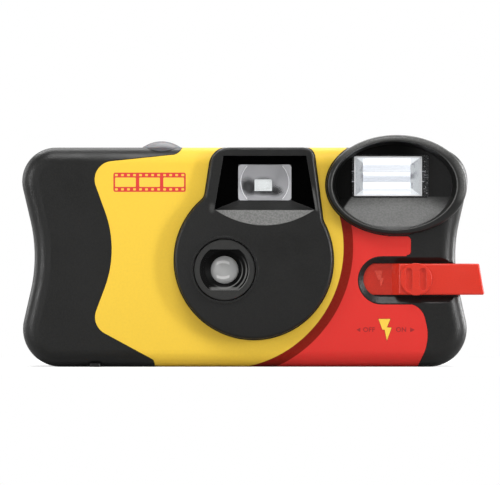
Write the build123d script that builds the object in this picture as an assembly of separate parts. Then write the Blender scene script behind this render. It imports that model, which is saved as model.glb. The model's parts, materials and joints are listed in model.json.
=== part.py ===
from build123d import *
import math
import os

# Disposable film camera, in millimetres.
# X runs to the right seen from the front, the lens looks along minus Y, and Z is up.
# The origin is the centre of the base that the camera rests on.

# Casing, as tall as its film needs
body_width = 118.0
body_depth = 30.0
film_width = 35.0
height_over_film = 23.3
body_height = film_width + height_over_film
wall = 1.5

# The layout below is written for a casing of 118 by 58.3 by 30 and stretches with it.
# Each share is one over that size. Round pieces keep the smallest of the three stretches.
across_share = 1 / 118.0
tall_share = 1 / 58.3
deep_share = 1 / 30.0
across = body_width * across_share
tall = body_height * tall_share
deep = body_depth * deep_share
snug = min(across, tall, deep)

# Shape of the casing
front_round = 4.5 * snug
rear_round = 4.0 * snug
body_corner_shares = [
    (-1.039, 1.0, 0.154),
    (-0.925, 0.506, 0.703),
    (-1.039, 0.0, 0.172),
    (1.0475, 0.0, 0.172),
    (0.9365, 0.506, 0.703),
    (1.0475, 1.0, 0.154),
]

# Clearances
overrun = 5.0
seat_gap = 0.05
fit_gap = 0.1
slide_gap = 0.2
part_gap = 0.3
overlap = 1.0
seam_width = 0.3
seam_depth = 0.3
press_gap = 0.01

# Lens housing on the front
bump_x = 2.67 * across
bump_z = 28.4 * tall
bump_radius = 21.0 * snug
bump_rise = 3.8
bump_dome_radius = 260.0
bump_edge_round = 0.8
neck_join_round = 3.0
neck_left_round = 5.4 * snug
neck_right_round = 3.2 * snug
neck_top_left = 10.9 * snug
neck_top_right = 15.7 * snug
neck_foot_left = 15.5 * snug
neck_foot_right = 19.6 * snug

# Lens and its retainer
lens_x = -5.1 * across
lens_z = 25.8 * tall
lens_radius = 4.2 * snug
lens_opening_radius = 3.67 * snug
lens_thickness = 1.8
lens_front_curve = 11.0 * snug
lens_rear_curve = 16.0 * snug
lens_depth = 3.0
retainer_radius = 8.3 * snug
retainer_steps = [(6.6 * snug, 0.6), (6.1 * snug, 1.0), (5.6 * snug, 1.4)]
retainer_flat = 5.4 * snug
retainer_step_radius = 5.1 * snug
retainer_lip = 0.9
retainer_edge = 0.5
rim_width = 0.6
rim_rise = 0.3

# Viewfinder
finder_x = 5.6 * across
finder_z = 49.0 * tall
finder_width = 14.1 * snug
finder_height = 9.5 * snug
hood_top_width = 22.0 * snug
hood_foot_width = 26.8 * snug
hood_top_rise = 7.1 * snug
hood_foot_drop = 7.3 * snug
chin_depth = 2.0
chin_drop = 4.2 * snug
mouth_depth = 2.4
finder_flange = 0.7
finder_lens_thickness = 1.5
finder_lens_curve = 30.0
eyepiece_width = 8.0 * snug
eyepiece_height = 6.4 * snug
eyepiece_opening_width = 6.4 * snug
eyepiece_opening_height = 4.8 * snug
eyepiece_funnel = 2.6
eyepiece_thickness = 1.4
eyepiece_corner = 0.5
tunnel_wall = 1.0

# Flash head
flash_x = 40.6 * across
flash_z = 48.3 * tall
flash_half_width = 18.7 * snug
flash_half_height = 13.3 * snug
flash_rise = 2.6
flash_edge_round = 1.3
bowl_margin = 2.2
bowl_lip_margin = 1.5
bowl_depth = 6.4 * snug
bowl_draft = 1.0
window_x = 38.4 * across
window_z = 50.7 * tall
window_width = 18.0 * snug
window_height = 10.5 * snug
window_shift = 0.6
window_border_width = 2.2
window_border_height = 0.7
window_border_left_share = 0.25
window_corner = 0.65
window_stand = 0.5
window_seat = 0.75
window_flange = 0.8
scoop_top_gap = 0.4
reflector_depth = 6.2 * snug
reflector_wall = 0.4
reflector_end_share = 0.74
tube_radius = 1.45
tube_depth_share = 0.55
tube_overhang = 3.0
electrode_radius = 0.4

# Flash slider and its slot
slider_z = 23.3 * tall
slider_height = 8.3 * snug
slider_left = 31.0 * across
slider_step = 41.3 * across
slider_reach = 62.5 * across
slider_slant = 1.4
slider_stand = 1.2
slider_travel = 4.8 * across
tongue_depth = 1.6
tongue_thickness = 1.2
slider_round = 0.5
slot_left = 30.6 * across
slot_z = 23.0 * tall
slot_height = 12.2 * snug
slot_inner_wall = 1.0
slot_bevel = 1.2
slot_bevel_depth = 1.0
slot_clearance = 0.5
slider_ramp = 2.0
grip_x = 45.7 * across
grip_radius = 4.3 * snug
grip_rise = 0.5
grip_groove_offset = 1.85 * snug
grip_groove_width = 1.7
grip_groove_height = 5.8 * snug
grip_groove_depth = 0.4
grip_groove_round_share = 0.45
switch_pin_radius = 1.0
switch_pin_x = 43.0 * across

# Shutter button
button_x = -21.9 * across
button_inset = 7.0 * deep
button_radius = 5.2 * snug
button_rise = 1.7
button_skirt = 1.3
button_travel = 1.5
button_well_floor = 1.2
stem_radius = 1.5

# Film and cartridge
film_centre_z = 25.8 * tall
film_thickness = 0.14
film_gap = 3.7 * deep
gate_width = 36.0 * across
gate_height = 24.0 * snug
gate_plate_thickness = 1.5
perforation_pitch = 4.75 * snug
perforation_width = 1.98 * snug
perforation_height = 2.8 * snug
perforation_margin = 2.0
cartridge_radius = 12.5 * snug
cartridge_inset = 19.5 * across
cartridge_rear_gap = 0.6
cartridge_bottom = 3.0 * tall
cartridge_height = 43.6 * tall
cartridge_skin = 0.3
cap_height = 2.2
spool_radius = 5.0 * snug
spool_core_radius = 3.6 * snug
spool_bore_radius = 3.2 * snug
spool_stand = 1.2
mouth_length = 5.0
mouth_wall = 0.3
felt_thickness = 0.45
chamber_wall = 0.8

# Supply side
supply_inset = 29.0 * across
supply_y_gap = 0.2
roll_radius = 8.0 * snug
supply_core_radius = 3.9 * snug
supply_flange = 1.2
supply_chamber_wall = 0.7
chamber_gap = 0.3

# Winding
wheel_radius = 13.3 * snug
wheel_height = 4.6
wheel_bottom = 49.8 * tall
wheel_teeth = 72
wheel_tooth_depth = 0.45
wheel_hub_radius = 5.9 * snug
wheel_drive_radius = 2.9 * snug
wheel_drive_length = 6.5
wheel_recess_radius = 9.0 * snug
wheel_recess_depth = 1.2
ratchet_teeth = 36
ratchet_radius = 12.0 * snug
ratchet_depth = 0.7
ratchet_height = 0.8
pawl_overlap = 0.6
pawl_size = 3.0
scoop_depth = 3.0 * deep
scoop_width = 27.0 * snug
scoop_drop = 10.2 * tall
scoop_round = 4.0
rib_inset = 3.0
snap_tab_width = 6.0
snap_tab_reach = 4.5
snap_tab_root = 3.0
snap_tab_thickness = 0.75

# Film sprocket and counter
sprocket_x = -19.5 * across
sprocket_teeth = 8
sprocket_tooth = 0.5
sprocket_tooth_share = 0.6
sprocket_height = 2.1
sprocket_tooth_height = 1.4
shaft_radius = 1.5
cam_reach = 2.2 * snug
dial_x = -10.2 * across
dial_y = 4.0 * deep
dial_radius = 6.8 * snug
dial_teeth = 40
dial_tooth = 0.5
dial_height = 1.0
dial_drop = 2.5
dial_hub_radius = 3.3
counter_width = 5.0 * snug
counter_length = 4.0 * snug
counter_thickness = 1.2

# Chassis
deck_bottom = 47.2 * tall
deck_thickness = 1.2
front_plate_thickness = 1.4
front_plate_gap = 0.75
post_radius = 1.1
cone_wall = 1.2
cone_mouth = 9.0 * snug

# Shutter
shutter_plate_thickness = 1.0
shutter_plate_width = 26.0 * snug
shutter_plate_height = 24.0 * snug
aperture_radius = 1.6
blade_thickness = 0.25
blade_disc_radius = 2.6
blade_pivot_dx = -5.4 * snug
blade_pivot_dz = 7.7 * snug
blade_tail = 12.8 * snug
blade_arm = 1.4
spring_hook_reach = 4.0
spring_hook_radius = 0.4
pivot_radius = 0.8
pivot_hub_radius = 1.7
spring_wire_radius = 0.15
spring_turns = 8
spring_pitch = 0.75
spring_overlap_share = 0.6
blade_coil_radius = 0.2
striker_coil_radius = 0.5
striker_pivot_x = -13.0 * across
striker_height = 1.4
striker_arm = 1.6
striker_length = 8.5 * snug
striker_finger = 1.0
metering_pivot_x = -15.8 * across
metering_height = 1.0
metering_arm = 2.4
lever_hub_radius = 2.0

# Flash circuit
board_left = 23.0 * across
board_right = 53.2 * across
board_bottom = 3.4 * tall
board_top = 42.0 * tall
board_thickness = 1.0
board_gap = 0.8
capacitor_radius = 5.4 * snug
capacitor_height = 26.0 * tall
capacitor_x = 46.9 * across
capacitor_bottom = 9.5 * tall
lead_radius = 0.35
transformer_size = (8.0 * snug, 6.4 * snug, 7.0 * snug)
transformer_x = 46.4 * across
transformer_bottom = 36.6 * tall
coil_radius = 2.5 * snug
coil_length = 8.0 * snug
coil_core_reach = 1.5
coil_core_radius = 1.25
coil_x = 46.9 * across
coil_bottom = 3.7 * tall
transistor_radius = 2.3 * snug
transistor_height = 4.6
transistor_x = 38.2 * across
lamp_radius = 1.5
lamp_length = 6.0
lamp_offset = 9.6 * snug
lamp_window_radius = 1.8
lamp_window_round = 0.6

# Battery cell
battery_radius = 5.25 * snug
battery_length = 44.5 * across
battery_left = -24.0 * across
battery_nub_radius = 1.9
battery_nub_length = 0.8
contact_thickness = 0.4
contact_width = 6.0
contact_foot = 3.0

# Cartridge door
door_margin = 0.3
door_gap = 0.15
nub_width = 3.0
nub_height = 0.9
nub_reach = 1.8
nub_round = 0.75
notch_gap = 0.3

# Label
label_recess = 0.3
label_glue = 0.03
label_sink = 0.02
label_edge_gap = 0.12
label_border = 0.2
label_left_shares = [
    (-0.271, 1.04, 0.0),
    (-0.283, 0.972, 0.05),
    (-0.705, 0.928, 0.086),
    (-0.564, 0.533, 0.497),
    (-0.692, 0.187, 0.086),
    (-0.407, 0.031, 0.017),
    (-0.393, -0.04, 0.0),
]
label_right_shares = [
    (0.766, -0.04, 0.0),
    (0.841, 0.125, 0.206),
    (0.8, 0.292, 0.086),
    (0.736, 0.29, 0.0),
    (0.736, 0.508, 0.0),
    (0.754, 0.509, 0.02),
    (0.754, 0.597, 0.022),
    (0.652, 0.597, 0.0),
    (0.5, 0.77, 0.0),
    (0.46, 1.04, 0.0),
]
back_label_shares = [
    (-0.271, 1.04, 0.0),
    (-0.271, 0.83, 0.05),
    (-0.42, 0.76, 0.06),
    (-0.42, 0.06, 0.05),
    (-0.393, 0.04, 0.0),
    (-0.393, -0.04, 0.0),
    (0.766, -0.04, 0.0),
    (0.766, 0.62, 0.07),
    (0.46, 0.72, 0.05),
    (0.46, 1.04, 0.0),
]

# Places that follow from the driving sizes
half_width = body_width / 2
front_y = -body_depth / 2
rear_y = body_depth / 2
inner_front = front_y + wall
inner_rear = rear_y - wall
inner_top = body_height - wall
cartridge_x = -half_width + cartridge_inset
cartridge_y = inner_rear - cartridge_rear_gap - cartridge_radius
cartridge_top = cartridge_bottom + cartridge_height
parting_y = cartridge_y
film_y = inner_rear - film_gap
film_bottom = film_centre_z - film_width / 2
film_top = film_centre_z + film_width / 2
bump_front = front_y - bump_rise
dome_sag_at_lens = ((lens_x - finder_x) ** 2 + (lens_z - bump_z) ** 2) / (2 * bump_dome_radius)
lens_front = bump_front + dome_sag_at_lens
lens_y = lens_front + lens_depth
shutter_plate_y = inner_front + part_gap
shutter_plate_rear = shutter_plate_y + shutter_plate_thickness
frame_front = shutter_plate_rear + front_plate_gap
frame_plate_rear = frame_front + front_plate_thickness
deck_top = deck_bottom + deck_thickness
gate_front = film_y - gate_plate_thickness - part_gap
supply_x = half_width - supply_inset
supply_y = film_y - supply_y_gap - roll_radius
sprocket_radius = sprocket_teeth * perforation_pitch / (2 * math.pi)
sprocket_tip = sprocket_radius + sprocket_tooth
sprocket_y = film_y - part_gap - sprocket_tip
sprocket_bottom = film_top - perforation_margin - perforation_height / 2 - sprocket_height / 2
dial_bottom = inner_top - dial_drop - dial_height
button_y = front_y + button_inset
button_well = body_height - button_skirt - button_travel - part_gap
board_front = inner_front + tongue_depth + tongue_thickness + slot_inner_wall + board_gap
board_rear = board_front + board_thickness
battery_y = inner_front + part_gap * 2 + battery_radius
battery_z = wall + part_gap * 2 + battery_radius
flash_front = front_y - flash_rise
bowl_floor = flash_front + bowl_depth
window_back = bowl_floor + wall + window_flange
tube_y = window_back + part_gap + reflector_depth * tube_depth_share
blade_pivot_x = lens_x + blade_pivot_dx
blade_pivot_z = lens_z + blade_pivot_dz
blade_y = shutter_plate_rear + part_gap
contact_y = board_front - contact_thickness - seat_gap


# Helpers

def block(x_span, y_span, z_span):
    """A block between two X values, two Y values and two Z values."""
    width = x_span[1] - x_span[0]
    depth = y_span[1] - y_span[0]
    height = z_span[1] - z_span[0]
    corner = Pos(x_span[0], y_span[0], z_span[0])
    return corner * Box(width, depth, height, align=Align.MIN)


def around(middle, size):
    """The span of a size centred on a middle."""
    return (middle - size / 2, middle + size / 2)


def post(x, y, z_span, radius):
    """A round post that stands between two heights."""
    height = z_span[1] - z_span[0]
    return Pos(x, y, (z_span[0] + z_span[1]) / 2) * Cylinder(radius, height)


def peg(x, z, y_span, radius):
    """A round peg that lies along the depth of the camera."""
    length = y_span[1] - y_span[0]
    return Pos(x, (y_span[0] + y_span[1]) / 2, z) * Rot(90, 0, 0) * Cylinder(radius, length)


def bar(y, z, x_span, radius):
    """A round bar that lies along the width of the camera."""
    length = x_span[1] - x_span[0]
    return Pos((x_span[0] + x_span[1]) / 2, y, z) * Rot(0, 90, 0) * Cylinder(radius, length)


def scaled(shares, width, height):
    """Corners given as shares of a width and a height, with radii as shares of the height."""
    return [(x * width, z * height, radius * height) for x, z, radius in shares]


def turn(before, corner, after):
    """The signed turn at a corner, from the side before it to the side after it."""
    first = (corner[0] - before[0], corner[1] - before[1])
    second = (after[0] - corner[0], after[1] - corner[1])
    cross = first[0] * second[1] - first[1] * second[0]
    dot = first[0] * second[0] + first[1] * second[1]
    return math.atan2(cross, dot)


def corner_arc(before, corner, after):
    """The start, middle and end of the arc that rounds a corner."""
    angle = abs(turn(before, corner, after))
    reach = corner[2] * math.tan(angle / 2)
    into = Vector(corner[0] - before[0], corner[1] - before[1]).normalized()
    out = Vector(after[0] - corner[0], after[1] - corner[1]).normalized()
    tip = Vector(corner[0], corner[1])
    to_middle = corner[2] * (1 / math.cos(angle / 2) - 1)
    middle = tip + (out - into).normalized() * to_middle
    return tip - into * reach, middle, tip + out * reach


def rounded_outline(corners):
    """A flat face with straight sides and rounded corners, each corner an x, a z and a radius."""
    count = len(corners)
    edges = []
    arcs = []
    for index in range(count):
        before = corners[index - 1]
        after = corners[(index + 1) % count]
        arcs.append(corner_arc(before, corners[index], after))
    for index in range(count):
        start, middle, end = arcs[index]
        if corners[index][2] > 0:
            edges.append(ThreePointArc(start, middle, end))
        edges.append(Line(end, arcs[(index + 1) % count][0]))
    return make_face(edges)


def inset_corners(corners, distance):
    """The corners of an outline whose sides move inwards by a distance."""
    count = len(corners)
    total = sum(turn(corners[i - 1], corners[i], corners[(i + 1) % count]) for i in range(count))
    side = 1 if total > 0 else -1
    moved = []
    for index in range(count):
        before = corners[index - 1]
        corner = corners[index]
        after = corners[(index + 1) % count]
        angle = turn(before, corner, after)
        into = Vector(corner[0] - before[0], corner[1] - before[1]).normalized()
        out = Vector(after[0] - corner[0], after[1] - corner[1]).normalized()
        inward = (Vector(-into.Y, into.X) + Vector(-out.Y, out.X)).normalized() * side
        shift = inward * (distance / math.cos(angle / 2))
        bulge = distance if angle * side > 0 else -distance
        radius = max(corner[2] - bulge, 0) if corner[2] > 0 else 0
        moved.append((corner[0] + shift.X, corner[1] + shift.Y, radius))
    return moved


def through_depth(outline, y_span):
    """The solid that an outline drawn in X and Z sweeps between two depths."""
    placed = Plane(origin=(0, y_span[1], 0), x_dir=(1, 0, 0), z_dir=(0, -1, 0)) * outline
    return extrude(placed, amount=y_span[1] - y_span[0], dir=(0, -1, 0))


def at_depth(outline, y):
    """An outline drawn in X and Z, placed at a depth."""
    return Plane(origin=(0, y, 0), x_dir=(1, 0, 0), z_dir=(0, -1, 0)) * outline


def rounded_box_outline(x_span, z_span, radius):
    """A rectangle with rounded corners."""
    left, right = x_span
    low, high = z_span
    return rounded_outline([(left, low, radius), (right, low, radius),
                            (right, high, radius), (left, high, radius)])


def end_edges(solid, front):
    """The edges round the front or the rear face of a solid."""
    faces = solid.faces().sort_by(Axis.Y)
    return (faces[0] if front else faces[-1]).edges()


def half_space_rear(y):
    """All that lies behind a depth."""
    return block((-body_width, body_width), (y, body_depth), (-body_height, body_height * 2))


# Shared shapes of the casing

def body_corners():
    """The corners of the casing seen from the front."""
    return scaled(body_corner_shares, half_width, body_height)


def body_solid(inset):
    """The casing filled solid, with every face moved inwards by the inset."""
    outline = rounded_outline(inset_corners(body_corners(), inset))
    solid = through_depth(outline, (front_y + inset, rear_y - inset))
    solid = fillet(end_edges(solid, True), front_round - inset)
    return fillet(end_edges(solid, False), rear_round - inset)


def flash_outline(inset):
    """The oval of the flash head, moved inwards by the inset."""
    oval = Ellipse(flash_half_width - inset, flash_half_height - inset)
    return Pos(flash_x, flash_z) * oval


def flash_head(inset):
    """The flash head filled solid."""
    head = through_depth(flash_outline(inset), (flash_front + inset, rear_y - inset))
    head = fillet(end_edges(head, True), flash_edge_round)
    return fillet(end_edges(head, False), rear_round - inset)


def bump_outline(grow):
    """The outline of the lens housing with its neck, grown outwards."""
    circle = Pos(bump_x, bump_z) * Rot(0, 0, -90) * Circle(bump_radius + grow)
    neck = rounded_outline([
        (bump_x - neck_top_left - grow, body_height + grow, neck_left_round),
        (bump_x - neck_foot_left - grow, bump_z, 0),
        (bump_x + neck_foot_right + grow, bump_z, 0),
        (bump_x + neck_top_right + grow, body_height + grow, neck_right_round),
    ])
    outline = circle + neck
    upper = [vertex for vertex in outline.vertices() if vertex.Y > bump_z]
    joins = sorted(upper, key=lambda vertex: vertex.Y)[:2]
    return fillet(joins, neck_join_round)


def slot_shape(left, middle, half):
    """A slot with a round left end, open at the right side of the casing."""
    round_end = half - seat_gap
    return rounded_outline([
        (left, middle - half, round_end),
        (half_width + overrun, middle - half, 0),
        (half_width + overrun, middle + half, 0),
        (left, middle + half, round_end),
    ])


def slot_outline(grow):
    """The outline of the slider's slot on the face of the casing, grown outwards."""
    return slot_shape(slot_left - grow, slot_z, slot_height / 2 + grow)


def slot_throat():
    """The narrower outline that the slot has behind its bevel."""
    return slot_shape(slot_left + slot_bevel, slider_z, slider_height / 2 + slot_clearance)


def seam_groove():
    """The fine groove round the casing where its two covers meet."""
    y_span = around(parting_y, seam_width)
    outer = through_depth(rounded_outline(inset_corners(body_corners(), -overlap)), y_span)
    outer += through_depth(flash_outline(-overlap), y_span)
    inner = through_depth(rounded_outline(inset_corners(body_corners(), seam_depth)), y_span)
    return outer - inner - through_depth(flash_outline(seam_depth), y_span)


def thumb_scoop(grow):
    """The recess behind which the thumbwheel shows, grown by a wall."""
    outline = rounded_outline([
        (cartridge_x - scoop_width / 2 - grow, body_height - scoop_drop - grow, scoop_round + grow),
        (cartridge_x + scoop_width / 2 + grow, body_height - scoop_drop - grow, scoop_round + grow),
        (cartridge_x + scoop_width / 2 + grow, body_height + overrun, 0),
        (cartridge_x - scoop_width / 2 - grow, body_height + overrun, 0),
    ])
    return through_depth(outline, (rear_y - scoop_depth - grow, rear_y + overrun))


def door_spans():
    """The X and Y spans of the opening that the cartridge goes through."""
    reach = cartridge_radius + door_margin
    return (around(cartridge_x, 2 * reach), around(cartridge_y, 2 * reach))


def door_opening():
    """The opening in the base under the cartridge, with a notch for the door's nub."""
    x_span, y_span = door_spans()
    opening = block(x_span, y_span, (-overrun, wall + overlap))
    notch_x = around(cartridge_x, nub_width + 2 * notch_gap)
    notch_y = (y_span[0] - nub_reach - door_gap, y_span[0] + door_gap)
    return opening + block(notch_x, notch_y, (-overrun, nub_height + part_gap))


# Label

def label_front_corners():
    """The corners of the label's front panel."""
    return scaled(label_left_shares + label_right_shares, half_width, body_height)


def label_zone(margin):
    """Everything the label covers, with its edges moved inwards by a margin."""
    split = front_y + front_round + overlap
    front = rounded_outline(inset_corners(label_front_corners(), margin))
    back = rounded_outline(inset_corners(scaled(back_label_shares, half_width, body_height), margin))
    eased = label_border + margin
    front_zone = through_depth(front, (front_y - overrun, split))
    front_zone -= through_depth(bump_outline(eased), (front_y - overrun, split))
    front_zone -= through_depth(slot_outline(eased), (front_y - overrun, split))
    zone = front_zone + through_depth(back, (split, rear_y + overrun))
    zone -= through_depth(flash_outline(-eased), (front_y - overrun, rear_y + overrun))
    zone -= post(button_x, button_y, around(body_height, overrun), button_radius + part_gap + eased)
    zone -= counter_hole(eased)
    eyepiece = eyepiece_funnel + eased
    finder = rounded_box_outline(
        around(finder_x, eyepiece_opening_width + 2 * eyepiece),
        around(finder_z, eyepiece_opening_height + 2 * eyepiece), eyepiece)
    zone -= through_depth(finder, (0, rear_y + overrun))
    lamp_x = finder_x + lamp_offset
    return zone - peg(lamp_x, finder_z, (0, rear_y + overrun), lamp_window_radius + wall / 2 + eased)


def counter_hole(grow):
    """The opening over the frame counter."""
    x_span = around(dial_x, counter_width + 2 * grow)
    y_span = around(dial_y - dial_radius / 2, counter_length + 2 * grow)
    return block(x_span, y_span, (inner_top - overlap, body_height + overrun))


def label_pocket():
    """The shallow recess in the casing that the label lies in."""
    skin = body_solid(-overlap) - body_solid(label_recess)
    return skin & label_zone(0)


def wrap_label():
    """The printed label, one thin band round the front, top, back and base."""
    skin = body_solid(label_sink) - body_solid(label_recess - label_glue)
    return skin & label_zone(label_edge_gap)


# Covers

def bowl_outline(inset):
    """The oval mouth of the flash bowl, moved inwards."""
    return Pos(flash_x - window_shift, flash_z) * Ellipse(
        flash_half_width - bowl_margin - inset, flash_half_height - bowl_lip_margin - inset)


def flash_bowl():
    """The hollow of the flash head: a steep oval dish with a sloping scoop under the window."""
    mouth = at_depth(bowl_outline(0), flash_front - seat_gap)
    foot = at_depth(bowl_outline(bowl_draft), bowl_floor)
    dish = loft([mouth.faces()[0], foot.faces()[0]])
    scoop_top = window_z - window_height / 2 - scoop_top_gap
    scoop_foot = flash_z - flash_half_height + bowl_lip_margin
    profile = make_face(Polyline(
        (bowl_floor + overrun, scoop_top), (bowl_floor, scoop_top), (flash_front, scoop_foot),
        (flash_front, scoop_foot - overrun), (bowl_floor + overrun, scoop_foot - overrun), close=True))
    side = Plane(origin=(flash_x - body_height, 0, 0), x_dir=(0, 1, 0), z_dir=(1, 0, 0)) * profile
    return dish - extrude(side, amount=2 * body_height, dir=(1, 0, 0))


def window_pocket():
    """The opening in the bowl's floor that holds the flash window."""
    outline = window_outline(window_border_width, window_border_height, fit_gap)
    return through_depth(outline, (bowl_floor - seat_gap, window_back + overlap))


def window_outline(extra_width, extra_height, gap):
    """The window's outline with a border that is wider at the right."""
    left = window_x - window_width / 2 - extra_width * window_border_left_share - gap
    right = window_x + window_width / 2 + extra_width * (1 - window_border_left_share) + gap
    half = (window_height + extra_height) / 2 + gap
    return rounded_box_outline((left, right), (window_z - half, window_z + half), window_corner)


def finder_funnel():
    """The hood's hollow, from its wide mouth back to the finder's opening."""
    top = finder_z + hood_top_rise
    foot = finder_z - hood_foot_drop
    mouth = make_face(Polyline(
        (finder_x - hood_top_width / 2, top), (finder_x + hood_top_width / 2, top),
        (finder_x + hood_foot_width / 2, foot), (finder_x - hood_foot_width / 2, foot), close=True))
    back = make_face(Polyline(
        (finder_x - finder_width / 2, finder_z + finder_height / 2),
        (finder_x + finder_width / 2, finder_z + finder_height / 2),
        (finder_x + finder_width / 2, finder_z - finder_height / 2),
        (finder_x - finder_width / 2, finder_z - finder_height / 2), close=True))
    mouth_y = bump_front + mouth_depth
    sections = [at_depth(mouth, mouth_y).faces()[0], at_depth(back, inner_front).faces()[0]]
    hollow = loft(sections, ruled=True)
    nose = through_depth(mouth, (bump_front - overrun, mouth_y))
    return hollow + nose + through_depth(back, (inner_front, inner_front + overlap))


def chin_scoop():
    """The cylinder that hollows the housing under the hood's mouth."""
    half = hood_foot_width / 2
    foot = finder_z - hood_foot_drop
    corner_sag = dome_sag(finder_x + half, foot)
    foot_sag = dome_sag(finder_x, foot - chin_drop)
    radius = half ** 2 / (2 * (chin_depth - corner_sag))
    slope = math.degrees(math.atan2(chin_depth - foot_sag, chin_drop))
    reach = overrun * 4
    cylinder = Pos(0, -radius, 0) * Cylinder(radius, 2 * reach)
    placed = Pos(finder_x, bump_front + chin_depth, foot) * Rot(-slope, 0, 0) * cylinder
    return placed & block((-body_width, body_width), (-body_depth * 2, 0), (foot - reach, foot))


def dome_sag(x, z):
    """How far the domed face of the lens housing falls back at a place."""
    return ((x - finder_x) ** 2 + (z - bump_z) ** 2) / (2 * bump_dome_radius)


def lens_housing():
    """The raised lens housing with its neck, domed in front."""
    outline = bump_outline(0)
    solid = through_depth(outline, (bump_front - overrun, inner_front))
    centre_y = bump_front + bump_dome_radius
    dome = Pos(finder_x, centre_y, bump_z) * Sphere(bump_dome_radius)
    near = block((-half_width, half_width), (bump_front - overrun, 0), (0, body_height + overrun))
    solid = solid & (dome & near)
    return fillet(end_edges(solid, True), bump_edge_round)


def front_cavity():
    """The room inside the front cover."""
    outline = rounded_outline(inset_corners(body_corners(), wall))
    room = through_depth(outline, (inner_front, parting_y + overrun))
    room = fillet(end_edges(room, True), front_round - wall)
    head = through_depth(flash_outline(wall), (bowl_floor + wall, parting_y + overrun))
    bump_span = (bump_front + 2 * wall, inner_front + seat_gap)
    bump_room = peg(bump_x, bump_z, bump_span, bump_radius - 2 * wall)
    low = block((-half_width, half_width), (bump_front, 0), (0, finder_z - hood_foot_drop - overrun))
    bump_room = (bump_room & low) - peg(lens_x, lens_z, (bump_front, 0), retainer_radius + 2 * wall)
    room = room + head + bump_room
    bowl_wall = through_depth(bowl_outline(-wall), (front_y, bowl_floor + wall))
    room -= bowl_wall
    floor_rear = inner_front + tongue_depth + tongue_thickness + slot_inner_wall
    half = slot_height / 2 + wall
    guide_z = (slider_z - half, slider_z + half)
    room -= block((tongue_end() - wall, half_width), (front_y, floor_rear), guide_z)
    boss_span = (button_well - button_well_floor, body_height)
    boss_radius = button_radius + fit_gap + wall - 2 * part_gap
    return room - post(button_x, button_y, boss_span, boss_radius)


def tongue_end():
    """How far left the slider's tongue runs under the front cover."""
    return slider_left - slider_travel - part_gap * 2


def slider_channel():
    """The channel that the slider runs in, and the bevelled slot round it."""
    rear = inner_front + tongue_depth + tongue_thickness + slide_gap / 2
    half = slider_height / 2 + slide_gap / 2
    z_span = (slider_z - half, slider_z + half)
    channel = block((tongue_end(), half_width + overrun), (inner_front + part_gap, rear), z_span)
    slot = through_depth(slot_throat(), (front_y - overrun, inner_front + 2 * part_gap))
    edge = at_depth(slot_outline(0), front_y).faces()[0]
    throat = at_depth(slot_throat(), front_y + slot_bevel_depth).faces()[0]
    slot += loft([edge, throat], ruled=True)
    pin_span = (switch_pin_x - slider_travel - switch_pin_radius - part_gap,
                switch_pin_x + switch_pin_radius + part_gap)
    pin_z = around(slider_z, 2 * switch_pin_radius + 2 * part_gap)
    return channel + slot + block(pin_span, (rear - seat_gap, rear + overrun), pin_z)


def button_opening():
    """The well of the shutter button and the hole for its stem."""
    well = post(button_x, button_y, (button_well, body_height + overrun), button_radius + fit_gap)
    stem_span = (button_well - overrun, button_well + overrun)
    return well + post(button_x, button_y, stem_span, stem_radius + fit_gap)


def snap_tabs():
    """Four tabs that reach into the rear cover and hold the two covers together."""
    y_span = (parting_y - snap_tab_root, parting_y + snap_tab_reach)
    top_span = (inner_top - seat_gap - snap_tab_thickness, inner_top - seat_gap)
    base_span = (wall + seat_gap, wall + seat_gap + snap_tab_thickness)
    roots_top = (inner_top - wall, inner_top + seat_gap)
    roots_base = (wall - seat_gap, 2 * wall)
    tabs = []
    for middle in (lens_x + snap_tab_width, supply_x - roll_radius):
        span = around(middle, snap_tab_width)
        root = (parting_y - snap_tab_root, parting_y)
        tabs.append(block(span, y_span, top_span) + block(span, root, roots_top))
        tabs.append(block(span, y_span, base_span) + block(span, root, roots_base))
    return tabs


def front_cover():
    """The black front half of the casing."""
    cover = body_solid(0) + flash_head(0)
    cover -= half_space_rear(parting_y)
    cover += lens_housing()
    cover -= front_cavity()
    ring_radius = retainer_radius + fit_gap
    cover += peg(lens_x, lens_z, (lens_front - rim_rise, front_y), ring_radius + rim_width)
    cover -= peg(lens_x, lens_z, (bump_front - overrun, inner_front + overrun), ring_radius)
    cover -= chin_scoop()
    cover -= finder_funnel()
    cover -= flash_bowl()
    cover -= window_pocket()
    cover -= slider_channel()
    cover -= button_opening()
    cover -= counter_hole(0)
    cover -= door_opening()
    cover -= label_pocket()
    cover -= seam_groove()
    for tab in snap_tabs():
        cover += tab
    return cover


def rear_cavity():
    """The room inside the rear cover."""
    outline = rounded_outline(inset_corners(body_corners(), wall))
    room = through_depth(outline, (parting_y - overrun, inner_rear))
    room = fillet(end_edges(room, False), rear_round - wall)
    head = through_depth(flash_outline(wall), (parting_y - overrun, inner_rear))
    head = fillet(end_edges(head, False), rear_round - wall)
    room += head
    room -= thumb_scoop(wall - part_gap)
    for height in (film_bottom + rib_inset, film_top - rib_inset):
        rib_y = (film_y + film_thickness + part_gap, rear_y)
        room -= block(around(lens_x, gate_width), rib_y, around(height, wall))
    return room


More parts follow.
